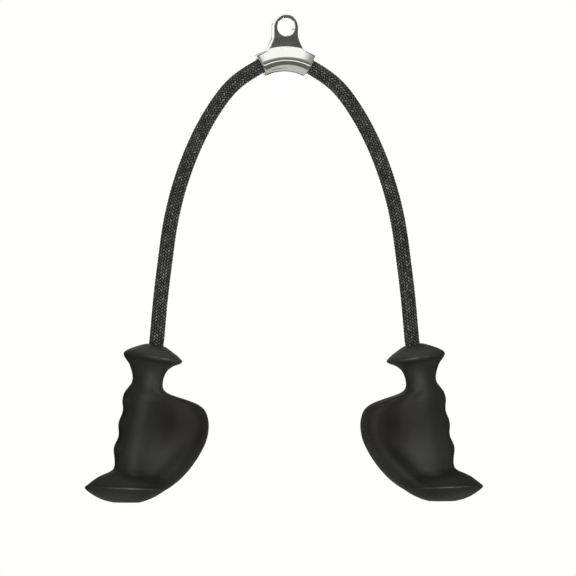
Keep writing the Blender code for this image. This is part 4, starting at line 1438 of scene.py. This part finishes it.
@dataclass
class Studio:
    """The pale floor, the soft lamps, the cards that the chrome reflects, and the camera."""

    picture: float = 0.576
    picture_pixels: int = 576
    azimuth: float = -12.0 * DEG
    lens: float = 600.0
    sensor: float = 36.0
    sight: float = 200.0
    axis_pixel: tuple = (284.7, 27.3)
    white: tuple = (1.0, 1.0, 0.983)
    fill: float = 0.16
    paper: tuple = (0.92, 0.92, 0.905, 1.0)
    floor_size: float = 80.0
    shadow_reach: tuple = (0.6, 1.6)
    shadow_glow: float = 0.85
    pale_middle: float = 0.13
    pale_aside: tuple = (0.08, 0.25)
    pale_lift: float = 0.07
    green_warmth: float = 0.02
    blue_level: float = 0.985
    blue_warmth: float = 0.11
    cards: tuple = (
        Card("card_front", (-84, 84), WHOLE_HEIGHT, WALL),
        Card("card_left", (202, 262), WHOLE_HEIGHT, WALL),
        Card("card_right", (98, 158), WHOLE_HEIGHT, WALL),
        Card("collar", (-150, 165), COLLAR_HEIGHTS, COLLAR, COLLAR_RADIUS),
        Card("collar_rear", (165, 190), COLLAR_HEIGHTS, even(0.4), COLLAR_RADIUS),
        Card("card_back", (158, 202), (FLOOR_HEIGHT, -0.135), even(0.28)),
    )
    # Level cards: name, x, y, height and level
    level_cards: tuple = (
        ("card_ground", (-0.6, 0.6), (-0.6, 0.6), -0.73, 0.52),
        ("card_ceiling", (0.10, 0.27), (-0.15, 0.6), 0.2, 0.08),
    )
    lamps: tuple = (
        Lamp("front", place=(-0.46, -1.98, -0.15), size=0.9, power=24.0, mirrored=True),
        Lamp("fill", place=(0.45, -1.98, 0.10), size=1.0, power=12.0),
        Lamp("overhead", place=(-0.1, -0.2, 1.5), size=1.0, power=10.0),
        Lamp("back", place=(0.9, 1.8, -0.30), size=0.9, power=30.0, mirrored=True),
    )

    def camera(self) -> None:
        """The camera, level with the middle of the picture and a little to the left of the front."""
        data = bpy.data.cameras.new("camera")
        data.lens = self.lens
        data.sensor_width = self.sensor
        data.clip_end = self.sight
        obj = linked("camera", data)
        middle, pixel = self.picture_pixels / 2, self.picture / self.picture_pixels
        right, down = ((middle - at) * pixel for at in self.axis_pixel)
        aim = Vector((math.cos(self.azimuth), math.sin(self.azimuth), 0)) * right + Vector((0, 0, -down))
        back = Vector((math.sin(self.azimuth), -math.cos(self.azimuth), 0))
        obj.location = aim + back * (self.picture * self.lens / self.sensor)
        faced(obj, -back)
        bpy.context.scene.camera = obj

    def world(self) -> None:
        """White where the camera, metal or glass looks at it, and a soft fill for everything else."""
        world = bpy.data.worlds.new("studio")
        bpy.context.scene.world = world
        sheet = NodeSheet(world)
        levels = {"Value": sheet.looked_at(), "To Min": self.fill, "To Max": 1.0}
        level = sheet.node("ShaderNodeMapRange", levels).outputs[0]
        sheet.join((*self.white, 1.0), sheet.nodes["Background"].inputs["Color"])
        sheet.join(level, sheet.nodes["Background"].inputs["Strength"])

    def floor(self) -> None:
        """A wide pale floor that reads as white paper and keeps the object's soft shadow."""
        half = self.floor_size / 2
        sheet = NodeSheet(bpy.data.materials.new("white_paper"))
        level = sheet.stretched(sheet.coordinates(Axis.OBJECT), (1.0, 1.0, 0.0))
        away = sheet.node("ShaderNodeVectorMath", {0: level}, operation="LENGTH").outputs["Value"]
        glowing = sheet.band(away, self.shadow_reach, (self.shadow_glow, 1.0))
        share = sheet.math("MULTIPLY", sheet.looked_at(), glowing)
        glow = sheet.node("ShaderNodeEmission", {"Color": (*self.white, 1.0), "Strength": 1.0})
        paper = sheet.node("ShaderNodeBsdfDiffuse", {"Color": self.paper})
        mixed = sheet.node("ShaderNodeMixShader", {0: share, 1: paper.outputs[0], 2: glow.outputs[0]})
        corners = [(x, y, FLOOR_HEIGHT) for y in (-half, half) for x in (-half, half)]
        self.sheet_of("floor", corners, 2, sheet.show(mixed.outputs[0]))

    def sheet_of(self, name: str, points: list, columns: int, material: Material) -> Object:
        """A flat or bent sheet of the studio.

        Args:
            name: its name.
            points: its points, row by row.
            columns: how many points a row has.
            material: its look.

        Returns:
            The object.
        """
        mesh = bpy.data.meshes.new(name)
        quads = []
        for row in range(len(points) // columns - 1):
            for i in range(row * columns, (row + 1) * columns - 1):
                quads.append((i, i + 1, columns + i + 1, columns + i))
        mesh.from_pydata(points, [], quads)
        mesh.materials.append(material)
        return linked(name, mesh)

    def card_material(self, name: str, stops: tuple) -> Material:
        """A glowing card whose level goes by its height, with every level a little higher to the sides.

        Args:
            name: the material's name.
            stops: pairs of a height and a level, from the floor to the cards' top.

        Returns:
            The material.
        """
        sheet = NodeSheet(bpy.data.materials.new(name))
        parts = sheet.parts(sheet.coordinates(Axis.OBJECT))
        aside = sheet.math("ABSOLUTE", sheet.math("SUBTRACT", parts[0], self.pale_middle))
        height = sheet.math("SUBTRACT", parts[2], sheet.band(aside, self.pale_aside, (0.0, self.pale_lift)))
        span = CARD_TOP - FLOOR_HEIGHT
        share = sheet.math("DIVIDE", sheet.math("SUBTRACT", height, FLOOR_HEIGHT), span)
        ramp = sheet.node("ShaderNodeValToRGB", {0: share})
        elements = ramp.color_ramp.elements
        while len(elements) < len(stops):
            elements.new(0.5)
        for element, (at, level) in zip(elements, stops):
            warm = 1 - min(level, 1)
            green, blue = 1 - self.green_warmth * warm, self.blue_level - self.blue_warmth * warm
            element.position = (at - FLOOR_HEIGHT) / span
            element.color = (level, level * green, level * blue, 1.0)
        glow = sheet.node("ShaderNodeEmission", {"Color": ramp.outputs[0], "Strength": 1.0})
        return sheet.show(glow.outputs[0])

    def card(self, name: str, points: list, columns: int, stops: tuple) -> None:
        """One card, seen only in what is glossy.

        Args:
            name: the card's name.
            points: its points, row by row.
            columns: how many points a row has.
            stops: pairs of a height and a level.
        """
        obj = self.sheet_of(name, points, columns, self.card_material(name, stops))
        obj.visible_camera = False
        obj.visible_diffuse = False
        obj.visible_shadow = False
        obj.visible_transmission = False

    def build(self) -> None:
        """Set up the whole studio."""
        self.camera()
        self.world()
        self.floor()
        for card in self.cards:
            self.card(card.name, card.points(), card.steps, card.stops)
        for name, x, y, height, level in self.level_cards:
            self.card(name, [(at_x, at_y, height) for at_y in y for at_x in x], 2, even(level))
        for lamp in self.lamps:
            lamp.build()
        LOG.info("studio: camera, floor, cards and lamps")


def main() -> None:
    """Build the pieces in order."""
    logging.basicConfig(level=logging.INFO, format="%(name)s: %(message)s")
    bpy.context.scene.view_settings.view_transform = "Standard"
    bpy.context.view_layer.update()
    Studio().build()
    palette = Palette()
    Rope(palette).build()
    Hanger(palette).build()
    for side in Side:
        Grip(palette, side).build()
    RopeEndFittings(palette).build()


if __name__ == "__main__":
    main()
